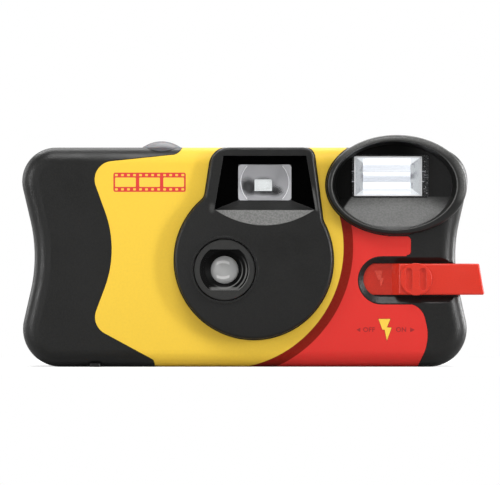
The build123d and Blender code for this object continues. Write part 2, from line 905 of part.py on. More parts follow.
def rear_cover():
    """The black rear half of the casing."""
    cover = body_solid(0) + flash_head(0)
    cover = cover & half_space_rear(parting_y)
    cover -= rear_cavity()
    cover -= thumb_scoop(0)
    slot_z = (wheel_bottom - ratchet_height - part_gap, wheel_bottom + wheel_height + 2 * part_gap)
    cut_y = rear_y - scoop_depth - wall
    half = math.sqrt(wheel_radius ** 2 - (cut_y - cartridge_y) ** 2) + 2 * part_gap
    cover -= block(around(cartridge_x, 2 * half), (cut_y - wall, rear_y), slot_z)
    inner = rounded_box_outline(
        around(finder_x, eyepiece_opening_width), around(finder_z, eyepiece_opening_height),
        eyepiece_corner)
    outer = rounded_box_outline(
        around(finder_x, eyepiece_opening_width + 2 * eyepiece_funnel),
        around(finder_z, eyepiece_opening_height + 2 * eyepiece_funnel), eyepiece_funnel)
    cover -= loft([at_depth(inner, inner_rear).faces()[0], at_depth(outer, rear_y).faces()[0]])
    cover -= through_depth(inner, (inner_rear - overrun, inner_rear))
    lamp_span = (inner_rear - overrun, rear_y + overrun)
    cover -= peg(finder_x + lamp_offset, finder_z, lamp_span, lamp_window_radius + fit_gap)
    cover -= door_opening()
    cover -= counter_hole(0)
    return cover - label_pocket() - seam_groove()


def cartridge_door():
    """The flap in the base that lets the cartridge out, with a nub to pry it by."""
    x_span, y_span = door_spans()
    x_span = (x_span[0] + door_gap, x_span[1] - door_gap)
    y_span = (y_span[0] + door_gap, y_span[1] - door_gap)
    plate = body_solid(0) & block(x_span, y_span, (-overrun, wall))
    nub_y = (y_span[0] - nub_reach, y_span[0] + wall)
    nub = block(around(cartridge_x, nub_width), nub_y, (0, nub_height))
    nub = fillet(nub.edges().filter_by(Axis.Z).sort_by(Axis.Y)[:2], nub_round)
    return plate + nub


# Front trim, lens and windows

def lens_retainer():
    """The ring that holds the lens, with a stepped conical mouth and two flats."""
    rear = shutter_plate_y - seat_gap
    ring = peg(lens_x, lens_z, (lens_front, rear), retainer_radius - fit_gap / 2)
    ring = fillet(end_edges(ring, True), retainer_edge)
    step_y = lens_front + retainer_steps[-1][1]
    lip_y = lens_y - part_gap / 2
    flats_z = around(lens_z, 2 * retainer_flat)
    flats = block(around(lens_x, body_height), (-body_depth, body_depth), flats_z)
    for radius, depth in retainer_steps:
        ring -= peg(lens_x, lens_z, (bump_front - overrun, lens_front + depth), radius) & flats
    cone = Pos(lens_x, (step_y + lip_y) / 2, lens_z) * Rot(90, 0, 0) * Cone(
        lens_opening_radius, retainer_step_radius, lip_y - step_y)
    ring -= cone
    ring -= peg(lens_x, lens_z, (lip_y - seat_gap, 0), lens_opening_radius)
    return ring - peg(lens_x, lens_z, (lens_y - seat_gap, 0), lens_radius + part_gap)


def taking_lens():
    """The single meniscus lens that takes the picture."""
    disc = peg(lens_x, lens_z, (lens_y, lens_y + lens_thickness), lens_radius)
    front = Pos(lens_x, lens_y + lens_front_curve, lens_z) * Sphere(lens_front_curve)
    rear = Pos(lens_x, lens_y + lens_thickness + lens_rear_curve - retainer_lip / 2, lens_z)
    return (disc & front) - rear * Sphere(lens_rear_curve)


def finder_block(width, height, y_span):
    """A finder lens block centred on the finder's axis."""
    return block(around(finder_x, width), y_span, around(finder_z, height))


def viewfinder_front_lens():
    """The front lens of the finder, a block with a hollow ground into its face."""
    front = inner_front + seat_gap
    y_span = (front, front + finder_lens_thickness)
    lens = finder_block(finder_width + 2 * finder_flange, finder_height + 2 * finder_flange, y_span)
    centre = front - finder_lens_curve + finder_lens_thickness / 2
    return lens - Pos(finder_x, centre, finder_z) * Sphere(finder_lens_curve)


def viewfinder_rear_lens():
    """The eyepiece lens of the finder."""
    rear = inner_rear - seat_gap
    return finder_block(eyepiece_width, eyepiece_height, (rear - eyepiece_thickness, rear))


def flash_window():
    """The clear window of the flash, a block on a flange that backs it."""
    flange_front = bowl_floor + window_seat
    outline = rounded_box_outline(
        around(window_x, window_width), around(window_z, window_height), window_corner)
    face = through_depth(outline, (bowl_floor - window_stand, flange_front + seat_gap))
    border = window_outline(window_border_width, window_border_height, 0)
    return face + through_depth(border, (flange_front, flange_front + window_flange))


def counter_window():
    """The clear window over the frame counter."""
    x_span = around(dial_x, counter_width - 2 * seat_gap)
    y_span = around(dial_y - dial_radius / 2, counter_length - 2 * seat_gap)
    top = body_height - label_recess
    return block(x_span, y_span, (top - counter_thickness, top))


def ready_window():
    """The small clear window over the flash ready lamp."""
    lamp_x = finder_x + lamp_offset
    stem = peg(lamp_x, finder_z, (inner_rear, rear_y), lamp_window_radius)
    return fillet(end_edges(stem, False), lamp_window_round)


# Slider and button

def flash_slider():
    """The red slider that switches the flash: a thin tongue, a thick finger piece and a round grip."""
    half = slider_height / 2
    front = front_y - slider_stand
    rear = inner_front + tongue_depth + tongue_thickness
    tip = slider_reach
    left = slider_step - slider_ramp
    finger = make_face(Polyline(
        (left, slider_z + half), (tip, slider_z + half),
        (tip + slider_slant, slider_z - half), (left, slider_z - half), close=True))
    body = through_depth(finger, (front, rear))
    tongue_y = (inner_front + part_gap + fit_gap, rear)
    above = make_face(Polyline(
        (left - overrun, tongue_y[0]), (left, tongue_y[0]), (slider_step, front),
        (slider_step, front - overrun), (left - overrun, front - overrun), close=True))
    body -= extrude(above, amount=body_height, dir=(0, 0, 1))
    body = fillet(body.edges().filter_by(Axis.Y).sort_by(Axis.X)[-2:], slider_round)
    body = fillet(end_edges(body, True), slider_round)
    slider = body + block((slider_left, slider_step + wall), tongue_y, around(slider_z, 2 * half))
    grip = peg(grip_x, slider_z, (front - grip_rise, front + seat_gap), grip_radius)
    grip = fillet(end_edges(grip, True), grip_rise / 2)
    slider += grip
    for side in (-1, 1):
        middle = grip_x + side * grip_groove_offset
        groove = rounded_box_outline(
            around(middle, grip_groove_width), around(slider_z, grip_groove_height),
            grip_groove_width * grip_groove_round_share)
        slider -= through_depth(groove, (front - overrun, front - grip_rise + grip_groove_depth))
    pin = peg(switch_pin_x, slider_z, (rear - seat_gap, contact_y - slide_gap), switch_pin_radius)
    return slider + pin


def shutter_button():
    """The grey domed button with its stem."""
    top = body_height + button_rise
    bottom = top - button_rise - button_skirt
    cap = post(button_x, button_y, (bottom, top), button_radius)
    curve = (button_radius ** 2 + button_rise ** 2) / (2 * button_rise)
    cap = cap & (Pos(button_x, button_y, top - curve) * Sphere(curve))
    lever_top = deck_top + striker_height + metering_height + 3 * part_gap
    stem_span = (lever_top + button_travel + part_gap, bottom + seat_gap)
    return cap + post(button_x, button_y, stem_span, stem_radius)


# Shutter

def shutter_plate():
    """The plate behind the lens, with the lens seat, the aperture and the blade's pivot pin."""
    z_low = lens_z - shutter_plate_height / 2
    x_span = (lens_x - shutter_plate_width / 2, lens_x + shutter_plate_width / 2)
    outline = rounded_box_outline(x_span, (z_low, z_low + shutter_plate_height), wall)
    plate = through_depth(outline, (shutter_plate_y, shutter_plate_rear))
    seat_y = lens_y + lens_thickness
    plate += peg(lens_x, lens_z, (seat_y, shutter_plate_y + seat_gap), lens_radius)
    plate -= peg(lens_x, lens_z, (seat_y - overrun, shutter_plate_y), lens_opening_radius - retainer_lip)
    plate -= peg(lens_x, lens_z, (shutter_plate_y - overrun, 0), aperture_radius)
    plate += peg(blade_pivot_x, blade_pivot_z, (shutter_plate_y, frame_front - seat_gap), pivot_radius)
    spring_top = blade_pivot_z - blade_arm
    hook_x = blade_pivot_x - spring_hook_reach
    return plate + peg(hook_x, spring_top, (shutter_plate_y, frame_front - seat_gap), spring_hook_radius)


def shutter_blade():
    """The thin blade that covers the aperture, with a tail for the striker."""
    y_span = (blade_y, blade_y + blade_thickness)
    disc = peg(lens_x, lens_z, y_span, blade_disc_radius)
    hub = peg(blade_pivot_x, blade_pivot_z, y_span, pivot_hub_radius)
    arm_length = math.hypot(blade_pivot_dx, blade_pivot_dz)
    lean = math.degrees(math.atan2(-blade_pivot_dx, -blade_pivot_dz))
    arm = block(around(0, 2 * blade_arm), y_span, (0, arm_length))
    arm = Pos(blade_pivot_x, 0, blade_pivot_z) * Rot(0, lean, 0) * arm
    tail = block(around(blade_pivot_x, blade_arm), y_span, (blade_pivot_z, blade_pivot_z + blade_tail))
    blade = disc + hub + arm + tail
    return blade - peg(blade_pivot_x, blade_pivot_z, (-body_depth, body_depth), pivot_radius + seat_gap)


def coil_spring(start, turns, pitch, coil_radius):
    """A coil spring along X, one tube swept on quarter turn arcs, with its least gap printed."""
    def point(angle):
        """The point of the coil's centre line at an angle."""
        turned = math.radians(angle)
        return Vector(start[0] + pitch * angle / 360,
                      start[1] + coil_radius * math.cos(turned),
                      start[2] + coil_radius * math.sin(turned))
    arcs = []
    for step in range(4 * turns):
        first = 90 * step
        arcs.append(ThreePointArc(point(first), point(first + 45), point(first + 90)))
    path = Wire(arcs)
    section = Plane(origin=path @ 0, z_dir=path % 0) * Circle(spring_wire_radius)
    print("coil spring, least gap to itself", round(pitch - 2 * spring_wire_radius, 3))
    return sweep(section, path=path)


def shutter_spring():
    """The return spring of the shutter blade."""
    left = blade_pivot_x - spring_hook_reach - pivot_radius - spring_turns * spring_pitch
    coil_y = (shutter_plate_rear + frame_front) / 2
    start = (left, coil_y, blade_pivot_z - blade_arm)
    return coil_spring(start, spring_turns, spring_pitch, blade_coil_radius)


def lever_pins():
    """The two pins on the deck that the levers turn on."""
    top = deck_top + striker_height + metering_height + 3 * part_gap
    pins = post(striker_pivot_x, striker_pivot_y(), (deck_bottom, top), post_radius)
    return pins + post(metering_pivot_x, metering_pivot_y(), (deck_bottom, top), post_radius)


def striker_pivot_y():
    """The depth of the striker's pin."""
    return frame_front + striker_length / 2


def metering_pivot_y():
    """The depth of the metering lever's pin."""
    return striker_pivot_y() + 2 * lever_hub_radius + wall


def striker_lever():
    """The sprung lever on the deck whose finger knocks the shutter blade's tail."""
    z_span = (deck_top + part_gap, deck_top + part_gap + striker_height)
    pivot_y = striker_pivot_y()
    hub = post(striker_pivot_x, pivot_y, z_span, lever_hub_radius)
    finger_right = blade_pivot_x - blade_arm / 2 - part_gap
    finger_x = (finger_right - striker_finger, finger_right)
    finger_y = (blade_y - part_gap / 2, blade_y + blade_thickness + part_gap / 2)
    reach = block(finger_x, (finger_y[0], pivot_y), z_span)
    across = block((striker_pivot_x, finger_right), around(pivot_y, striker_arm), z_span)
    finger = block(finger_x, finger_y, (blade_pivot_z + blade_tail - striker_height, z_span[1]))
    tail_x = (striker_pivot_x - striker_length / 2, striker_pivot_x)
    lever = hub + reach + across + finger + block(tail_x, around(pivot_y, striker_arm), z_span)
    return lever - post(striker_pivot_x, pivot_y, around(z_span[0], body_height), post_radius + seat_gap)


def metering_lever():
    """The lever under the button that releases the striker once per frame."""
    bottom = deck_top + striker_height + 2 * part_gap
    z_span = (bottom, bottom + metering_height)
    pivot_y = metering_pivot_y()
    hub = post(metering_pivot_x, pivot_y, z_span, lever_hub_radius)
    span = math.hypot(button_x - metering_pivot_x, button_y - pivot_y)
    lean = math.degrees(math.atan2(button_x - metering_pivot_x, pivot_y - button_y))
    arm = block(around(0, metering_arm), (-span, 0), (0, metering_height))
    arm = Pos(metering_pivot_x, pivot_y, bottom) * Rot(0, 0, lean) * arm
    pad = post(button_x, button_y, z_span, stem_radius + part_gap)
    lever = hub + arm + pad
    return lever - post(metering_pivot_x, pivot_y, around(bottom, body_height), post_radius + seat_gap)


def striker_spring():
    """The coil spring that drives the striker."""
    length = spring_turns * spring_pitch
    left = striker_pivot_x - striker_length / 2 - length * spring_overlap_share
    height = deck_top + part_gap + striker_coil_radius + spring_wire_radius
    place = (left, striker_pivot_y() + 2 * striker_arm - fit_gap, height)
    return coil_spring(place, spring_turns, spring_pitch, striker_coil_radius)


# Chassis

def gate_opening(grow, y_span):
    """The picture gate, grown by a wall."""
    return block(around(lens_x, gate_width + 2 * grow), y_span, around(lens_z, gate_height + 2 * grow))


def light_cone(grow):
    """The tapered dark chamber between the shutter and the picture gate."""
    small = cone_mouth + 2 * grow
    near = Pos(lens_x, lens_z) * Rectangle(small, small)
    far = Pos(lens_x, lens_z) * Rectangle(gate_width + 2 * grow, gate_height + 2 * grow)
    sections = [at_depth(near, frame_plate_rear).faces()[0], at_depth(far, gate_front).faces()[0]]
    return loft(sections, ruled=True)


def finder_tunnel(grow):
    """The finder's tunnel, from the front lens back to the eyepiece."""
    front = inner_front + finder_lens_thickness + part_gap
    rear = inner_rear - eyepiece_thickness - part_gap
    near = Pos(finder_x, finder_z) * Rectangle(finder_width + 2 * grow, finder_height + 2 * grow)
    far = Pos(finder_x, finder_z) * Rectangle(
        eyepiece_opening_width + 2 * grow, eyepiece_opening_height + 2 * grow)
    return loft([at_depth(near, front).faces()[0], at_depth(far, rear).faces()[0]], ruled=True)


def chamber(x, y, inner_radius, thickness, z_span):
    """An upright round chamber, open behind the film plane."""
    tube = post(x, y, z_span, inner_radius + thickness)
    tube -= post(x, y, around(body_height / 2, 2 * body_height), inner_radius)
    open_side = block((-body_width, body_width), (gate_front, body_depth), around(0, 4 * body_height))
    return tube - open_side


def main_frame():
    """The dark inner chassis: film gate, light cone, two film chambers, deck and finder tunnel."""
    left = cartridge_x + cartridge_radius
    chamber_reach = roll_radius + chamber_gap
    right = supply_x - math.sqrt(chamber_reach ** 2 - (gate_front - supply_y) ** 2)
    plate_z = (battery_z + battery_radius + wall, deck_top)
    plate_x = (left + overrun, finder_x + finder_width / 2)
    frame = block(plate_x, (frame_front, frame_plate_rear), plate_z)
    gate_z = (film_bottom - wall, deck_bottom)
    gate_y = (gate_front, gate_front + gate_plate_thickness)
    frame += block((mouth_end() + part_gap, right), gate_y, gate_z)
    frame += light_cone(cone_wall)
    chamber_radius = cartridge_radius + part_gap
    frame += chamber(cartridge_x, cartridge_y, chamber_radius, chamber_wall,
                     (cartridge_bottom + cap_height, deck_top))
    supply_floor = film_bottom - 2 * wall
    frame += chamber(supply_x, supply_y, chamber_reach, supply_chamber_wall,
                     (supply_floor - wall, film_top + wall))
    frame += post(supply_x, supply_y, (supply_floor - wall, supply_floor), chamber_reach + seat_gap)
    frame += post(supply_x, supply_y, (supply_floor - wall, film_bottom + wall), stem_radius)
    deck_x = (left, finder_x - finder_width / 2 - tunnel_wall - part_gap)
    frame += block(deck_x, (frame_front, gate_y[1]), (deck_bottom, deck_top))
    top_ring = post(cartridge_x, cartridge_y, (cartridge_top + part_gap, deck_top), chamber_radius)
    frame += top_ring - half_space_rear(gate_front)
    frame += finder_tunnel(tunnel_wall)
    frame += lever_pins()
    frame += post(dial_x, dial_y, (deck_bottom, dial_bottom + dial_height), shaft_radius)
    lamp_y = around(film_y - lamp_length, lamp_length)
    shelf_z = (finder_z - lamp_radius - wall, finder_z - lamp_radius - seat_gap)
    frame += block((finder_x, finder_x + lamp_offset + lamp_radius), lamp_y, shelf_z)
    pillar_z = (deck_bottom - 2 * wall - tunnel_wall, finder_z - finder_height / 2 - tunnel_wall / 2)
    frame += block(around(finder_x, finder_width / 2), (frame_front, gate_y[1]), pillar_z)
    frame -= finder_tunnel(0)
    frame -= light_cone(0)
    frame -= gate_opening(0, (gate_front - seat_gap, rear_y))
    frame -= peg(lens_x, lens_z, (-body_depth, 0), cone_mouth / 2)
    frame -= post(cartridge_x, cartridge_y, around(deck_top, overrun), wheel_hub_radius + fit_gap)
    frame -= post(sprocket_x, sprocket_y, around(deck_top, overrun), shaft_radius + fit_gap)
    wheel_z = (sprocket_bottom - part_gap, sprocket_bottom + sprocket_height + part_gap)
    frame -= post(sprocket_x, sprocket_y, wheel_z, sprocket_tip + part_gap)
    shaft_z = (sprocket_bottom, deck_bottom)
    return frame - post(sprocket_x, sprocket_y, shaft_z, shaft_radius + part_gap)


# Film, cartridge and winding

def film_holes():
    """The perforations along both edges of the film."""
    span = supply_x - cartridge_x
    count = int(span / perforation_pitch)
    first = lens_x - perforation_pitch * (count - 1) / 2
    y_span = around(film_y, 2 * wall)
    holes = []
    for index in range(count):
        x_span = around(first + index * perforation_pitch, perforation_width)
        low = film_bottom + perforation_margin
        high = film_top - perforation_margin
        holes.append(block(x_span, y_span, (low, low + perforation_height)))
        holes.append(block(x_span, y_span, (high - perforation_height, high)))
    return holes


def film_strip():
    """The stretch of film between the supply roll and the cartridge."""
    x_span = (cartridge_x + spool_radius + felt_thickness, supply_x)
    strip = block(x_span, (film_y, film_y + film_thickness), (film_bottom, film_top))
    return strip - film_holes()


def mouth_end():
    """How far right the cartridge's mouth reaches."""
    return cartridge_x + cartridge_radius - part_gap + mouth_length / 2 - 2 * mouth_wall


def cartridge_shell():
    """The metal skin of the film cartridge with its light-tight mouth."""
    radius = cartridge_radius - part_gap
    z_span = (cartridge_bottom + cap_height / 2, cartridge_top - cap_height / 2)
    shell = post(cartridge_x, cartridge_y, z_span, radius)
    mouth_gap = felt_thickness + film_thickness / 2 + part_gap / 2
    middle = film_y + film_thickness / 2
    lips_y = around(middle, 2 * (mouth_gap + mouth_wall))
    lips_z = (film_bottom - mouth_wall, film_top + mouth_wall)
    lips = block((cartridge_x, mouth_end()), lips_y, lips_z)
    shell += lips
    shell -= post(cartridge_x, cartridge_y, (0, body_height), radius - cartridge_skin)
    gap_z = (film_bottom - seat_gap, film_top + seat_gap)
    return shell - block((cartridge_x, mouth_end() + overrun), around(middle, 2 * mouth_gap), gap_z)


def cartridge_felt():
    """The two felt strips that seal the cartridge's mouth."""
    middle = film_y + film_thickness / 2
    inner = film_thickness / 2 + part_gap / 2
    x_span = (mouth_end() - mouth_length / 2, mouth_end())
    z_span = (film_bottom, film_top)
    upper = block(x_span, (middle + inner, middle + inner + felt_thickness - seat_gap), z_span)
    lower = block(x_span, (middle - inner - felt_thickness + seat_gap, middle - inner), z_span)
    return Compound(children=[upper.solids()[0], lower.solids()[0]])


def cartridge_cap(bottom, outward):
    """An end cap pressed over the cartridge's skin, with the spool's hole."""
    cap = post(cartridge_x, cartridge_y, (bottom, bottom + cap_height), cartridge_radius)
    if outward < 0:
        skin_z = (bottom + cartridge_skin, bottom + overrun)
    else:
        skin_z = (bottom - overrun, bottom + cap_height - cartridge_skin)
    cap -= post(cartridge_x, cartridge_y, skin_z, cartridge_radius - part_gap + press_gap)
    lips_x = (cartridge_x + spool_radius, cartridge_x + 2 * cartridge_radius)
    lips_z = (film_bottom - wall / 2, film_top + wall / 2)
    cap -= block(lips_x, around(film_y, 4 * felt_thickness), lips_z)
    return cap - post(cartridge_x, cartridge_y, around(bottom, 4 * cap_height), spool_radius + fit_gap)


def cartridge_spool():
    """The spool inside the cartridge, which the thumbwheel turns."""
    z_span = (cartridge_bottom + part_gap, cartridge_top + spool_stand)
    spool = post(cartridge_x, cartridge_y, z_span, spool_radius)
    waist = (film_bottom - part_gap, film_top + part_gap)
    ring = post(cartridge_x, cartridge_y, waist, spool_radius + overrun)
    spool -= ring - post(cartridge_x, cartridge_y, waist, spool_core_radius)
    bore = (cartridge_top - wheel_drive_length - wall, cartridge_top + overrun)
    return spool - post(cartridge_x, cartridge_y, bore, spool_bore_radius)


def toothed_disc(x, y, z_span, radius, teeth, depth):
    """A disc with a rim of pointed teeth."""
    points = []
    for step in range(2 * teeth):
        angle = math.pi * step / teeth
        reach = radius - (depth if step % 2 else 0)
        points.append((reach * math.cos(angle), reach * math.sin(angle)))
    face = make_face(Polyline(*points, close=True))
    return Pos(x, y, z_span[0]) * extrude(face, amount=z_span[1] - z_span[0])


def thumbwheel():
    """The knurled wheel that winds the film, with a ratchet under it and a drive for the spool."""
    z_span = (wheel_bottom, wheel_bottom + wheel_height)
    wheel = toothed_disc(cartridge_x, cartridge_y, z_span, wheel_radius, wheel_teeth, wheel_tooth_depth)
    recess = (z_span[1] - wheel_recess_depth, z_span[1] + overrun)
    wheel -= post(cartridge_x, cartridge_y, recess, wheel_recess_radius)
    wheel += post(cartridge_x, cartridge_y, (z_span[0], z_span[1]), wheel_hub_radius / 2)
    ratchet_z = (wheel_bottom - ratchet_height, wheel_bottom + seat_gap)
    wheel += toothed_disc(
        cartridge_x, cartridge_y, ratchet_z, ratchet_radius, ratchet_teeth, ratchet_depth)
    hub_bottom = cartridge_top + spool_stand + seat_gap
    wheel += post(cartridge_x, cartridge_y, (hub_bottom, wheel_bottom), wheel_hub_radius)
    drive = (cartridge_top - wheel_drive_length, hub_bottom + seat_gap)
    return wheel + post(cartridge_x, cartridge_y, drive, wheel_drive_radius)


def thumbwheel_pawl():
    """The leaf that stops the thumbwheel from turning back."""
    z_span = (deck_top + seat_gap, wheel_bottom - ratchet_height + pawl_overlap)
    reach = ratchet_radius + part_gap
    foot_x = (cartridge_x + reach, cartridge_x + reach + pawl_size)
    foot = block(foot_x, around(cartridge_y, pawl_size), z_span)
    return foot - post(cartridge_x, cartridge_y, around(deck_top, body_height), reach)


def supply_spool():
    """The core that the unexposed film is wound on."""
    z_span = (film_bottom - 2 * wall + part_gap, film_top + wall)
    spool = post(supply_x, supply_y, z_span, supply_core_radius)
    flange = (film_top + part_gap, film_top + part_gap + supply_flange)
    spool += post(supply_x, supply_y, flange, roll_radius - part_gap)
    socket = (z_span[0] - overrun, film_bottom + 2 * wall)
    return spool - post(supply_x, supply_y, socket, stem_radius + fit_gap)


def film_roll():
    """The unexposed film, wound on its core."""
    z_span = (film_bottom, film_top)
    roll = post(supply_x, supply_y, z_span, roll_radius)
    return roll - post(supply_x, supply_y, z_span, supply_core_radius + seat_gap)


def film_sprocket():
    """The toothed wheel that the film turns, with its shaft and the cam that moves the counter."""
    z_span = (sprocket_bottom, sprocket_bottom + sprocket_height)
    wheel = post(sprocket_x, sprocket_y, z_span, sprocket_radius - part_gap)
    tooth_y = around(0, perforation_width * sprocket_tooth_share)
    tooth_z = around(sprocket_bottom + sprocket_height / 2, sprocket_tooth_height)
    for index in range(sprocket_teeth):
        tooth = block((0, sprocket_tip), tooth_y, tooth_z)
        wheel += Pos(sprocket_x, sprocket_y, 0) * Rot(0, 0, index * 360 / sprocket_teeth) * tooth
    shaft = post(sprocket_x, sprocket_y, (z_span[0], dial_bottom + dial_height), shaft_radius)
    cam = block((0, cam_reach), around(0, shaft_radius), (dial_bottom, dial_bottom + dial_height))
    return wheel + shaft + Pos(sprocket_x, sprocket_y, 0) * cam


def counter_dial():
    """The disc that shows how many pictures are left."""
    z_span = (dial_bottom, dial_bottom + dial_height)
    dial = toothed_disc(dial_x, dial_y, z_span, dial_radius, dial_teeth, dial_tooth)
    dial += post(dial_x, dial_y, (dial_bottom - dial_height, dial_bottom), dial_hub_radius)
    return dial - post(dial_x, dial_y, around(dial_bottom, overrun), shaft_radius + fit_gap)


# Flash and power

def reflector_shape(grow):
    """The trough of the reflector: half an oval, with ends that lean in towards its back."""
    front = window_back + part_gap
    half_height = window_height / 2 - reflector_wall + grow
    oval = Plane(origin=(window_x, front, window_z), x_dir=(0, 1, 0), z_dir=(1, 0, 0)) * Ellipse(
        reflector_depth - reflector_wall + grow, half_height)
    trough = extrude(oval, amount=window_width, both=True)
    half = window_width / 2 - reflector_wall + grow
    back = front + reflector_depth + overrun
    lean = half * reflector_end_share
    wedge = make_face(Polyline(
        (window_x - half, front), (window_x + half, front),
        (window_x + lean, back), (window_x - lean, back), close=True))
    wedge = Pos(0, 0, window_z - window_height) * wedge
    return trough & extrude(wedge, amount=2 * window_height, dir=(0, 0, 1))


def flash_reflector():
    """The polished trough behind the flash window, with holes for the tube."""
    reflector = reflector_shape(reflector_wall) - reflector_shape(0)
    span = around(window_x, 2 * window_width)
    return reflector - bar(tube_y, window_z, span, tube_radius + seat_gap)


def xenon_tube():
    """The glass flash tube with an electrode at each end."""
    reach = window_width + tube_overhang / 2
    tube = bar(tube_y, window_z, around(window_x, reach), tube_radius)
    return tube + bar(tube_y, window_z, around(window_x, reach + tube_overhang), electrode_radius)


def flash_board():
    """The circuit board of the flash."""
    return block((board_left, board_right), (board_front, board_rear), (board_bottom, board_top))


def flash_capacitor():
    """The main capacitor, with two leads into the board."""
    z_span = (capacitor_bottom, capacitor_bottom + capacitor_height)
    y = board_rear + seat_gap + capacitor_radius
    can = post(capacitor_x, y, z_span, capacitor_radius)
    return fillet(can.edges(), lead_radius)


def flash_transformer():
    """The step-up transformer of the flash."""
    width, depth, height = transformer_size
    y_span = (board_rear + seat_gap / 2, board_rear + seat_gap / 2 + depth)
    z_span = (transformer_bottom, transformer_bottom + height)
    core = block(around(transformer_x, width), y_span, z_span)
    middle_z = around(transformer_bottom + height / 2, height / 2)
    waist = block(around(transformer_x, width + wall), (y_span[0], y_span[1] + wall / 2), middle_z)
    return core + waist


def trigger_coil():
    """The trigger coil, wound on a small ferrite."""
    y = board_rear + seat_gap + coil_radius
    body = bar(y, coil_bottom + coil_radius, around(coil_x, coil_length), coil_radius)
    core_x = around(coil_x, coil_length + coil_core_reach)
    return body + bar(y, coil_bottom + coil_radius, core_x, coil_core_radius)


def flash_transistor():
    """The switching transistor, with one flat side on the board."""
    z_span = (board_top - transistor_height, board_top)
    y = board_rear + seat_gap
    can = post(transistor_x, y, z_span, transistor_radius)
    return can & half_space_rear(y)


def switch_contact():
    """The leaf on the board that the slider's pin presses."""
    x_span = (switch_pin_x - slider_travel / 2, switch_pin_x + slider_travel / 2)
    y_span = (contact_y, board_front - seat_gap)
    return block(x_span, y_span, around(slider_z, 2 * switch_pin_radius))


def sync_contact():
    """The leaf beside the shutter that fires the flash."""
    right = blade_pivot_x - blade_disc_radius - wall
    y_span = (shutter_plate_rear + seat_gap, frame_front - seat_gap)
    z_span = (blade_pivot_z, lens_z + shutter_plate_height / 2)
    return block((right - contact_thickness, right), y_span, z_span)


def ready_lamp():
    """The neon lamp that glows when the flash is charged."""
    x = finder_x + lamp_offset
    return peg(x, finder_z, around(film_y - lamp_length, lamp_length), lamp_radius)


def battery():
    """The cell that powers the flash."""
    right = battery_left + battery_length - battery_nub_length
    can = bar(battery_y, battery_z, (battery_left, right), battery_radius)
    can = fillet(can.edges(), contact_thickness)
    nub_x = (right - seat_gap, right + battery_nub_length)
    return can + bar(battery_y, battery_z, nub_x, battery_nub_radius)


def battery_contact(x, side):
    """A bent metal strip that touches one end of the cell."""
    y_span = around(battery_y, contact_width)
    base = wall + seat_gap
    strip_x = sorted((x, x + side * contact_thickness))
    foot_x = sorted((x + side * contact_thickness, x - side * contact_foot))
    strip = block(strip_x, y_span, (base, battery_z + battery_radius))
    return strip + block(foot_x, y_span, (base, base + contact_thickness))


# Write one file for each piece

def pieces():
    """Every piece of the camera by the name of its node."""
    battery_right = battery_left + battery_length
    return {
        "front_cover": front_cover(),
        "rear_cover": rear_cover(),
        "wrap_label": wrap_label(),
        "cartridge_door": cartridge_door(),
        "lens_retainer": lens_retainer(),
        "taking_lens": taking_lens(),
        "viewfinder_front_lens": viewfinder_front_lens(),
        "viewfinder_rear_lens": viewfinder_rear_lens(),
        "flash_window": flash_window(),
        "counter_window": counter_window(),
        "ready_window": ready_window(),
        "flash_slider": flash_slider(),
        "shutter_button": shutter_button(),
        "shutter_plate": shutter_plate(),
        "shutter_blade": shutter_blade(),
        "shutter_spring": shutter_spring(),
        "striker_lever": striker_lever(),
        "striker_spring": striker_spring(),
        "metering_lever": metering_lever(),
        "main_frame": main_frame(),
        "film_strip": film_strip(),
        "cartridge_shell": cartridge_shell(),
        "cartridge_felt": cartridge_felt(),
        "cartridge_top_cap": cartridge_cap(cartridge_top - cap_height, 1),
        "cartridge_bottom_cap": cartridge_cap(cartridge_bottom, -1),
        "cartridge_spool": cartridge_spool(),
        "thumbwheel": thumbwheel(),
        "thumbwheel_pawl": thumbwheel_pawl(),
        "supply_spool": supply_spool(),
        "film_roll": film_roll(),
        "film_sprocket": film_sprocket(),
        "counter_dial": counter_dial(),
        "flash_reflector": flash_reflector(),
        "xenon_tube": xenon_tube(),
        "flash_board": flash_board(),
        "flash_capacitor": flash_capacitor(),
        "flash_transformer": flash_transformer(),
        "trigger_coil": trigger_coil(),
        "flash_transistor": flash_transistor(),
        "switch_contact": switch_contact(),
        "sync_contact": sync_contact(),
        "ready_lamp": ready_lamp(),
        "battery": battery(),
        "battery_contact_negative": battery_contact(battery_left - seat_gap, -1),
        "battery_contact_positive": battery_contact(battery_right + seat_gap, 1),
    }


def main():
    """Build every piece and write it to its own file."""
    os.makedirs("parts", exist_ok=True)
    for name, piece in pieces().items():
        export_step(piece, f"parts/{name}.step")


main()
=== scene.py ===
"""Looks of a disposable film camera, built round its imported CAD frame."""

import json
import logging
import math
from collections.abc import Sequence
from dataclasses import dataclass, field
from enum import Enum

import bmesh
import bpy
from mathutils import Matrix, Vector


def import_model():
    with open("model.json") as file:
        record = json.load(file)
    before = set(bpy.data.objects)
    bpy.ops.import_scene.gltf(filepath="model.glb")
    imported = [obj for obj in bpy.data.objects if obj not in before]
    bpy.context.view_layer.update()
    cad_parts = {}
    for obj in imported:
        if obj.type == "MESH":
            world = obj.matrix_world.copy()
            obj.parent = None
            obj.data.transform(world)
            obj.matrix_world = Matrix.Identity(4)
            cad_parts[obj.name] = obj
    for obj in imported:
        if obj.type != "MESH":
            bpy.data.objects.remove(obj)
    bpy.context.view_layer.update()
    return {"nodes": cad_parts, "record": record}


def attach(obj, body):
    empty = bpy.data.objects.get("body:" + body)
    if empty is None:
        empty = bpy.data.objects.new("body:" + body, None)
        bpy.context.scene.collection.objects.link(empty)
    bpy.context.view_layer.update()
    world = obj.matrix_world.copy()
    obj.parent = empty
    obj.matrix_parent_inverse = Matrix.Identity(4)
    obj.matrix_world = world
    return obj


LOG = logging.getLogger("camera")
MM = 0.001
Colour = tuple[float, float, float]
Point = tuple[float, float]
Circle = tuple[float, float, float]
Box = tuple[float, float, float, float]
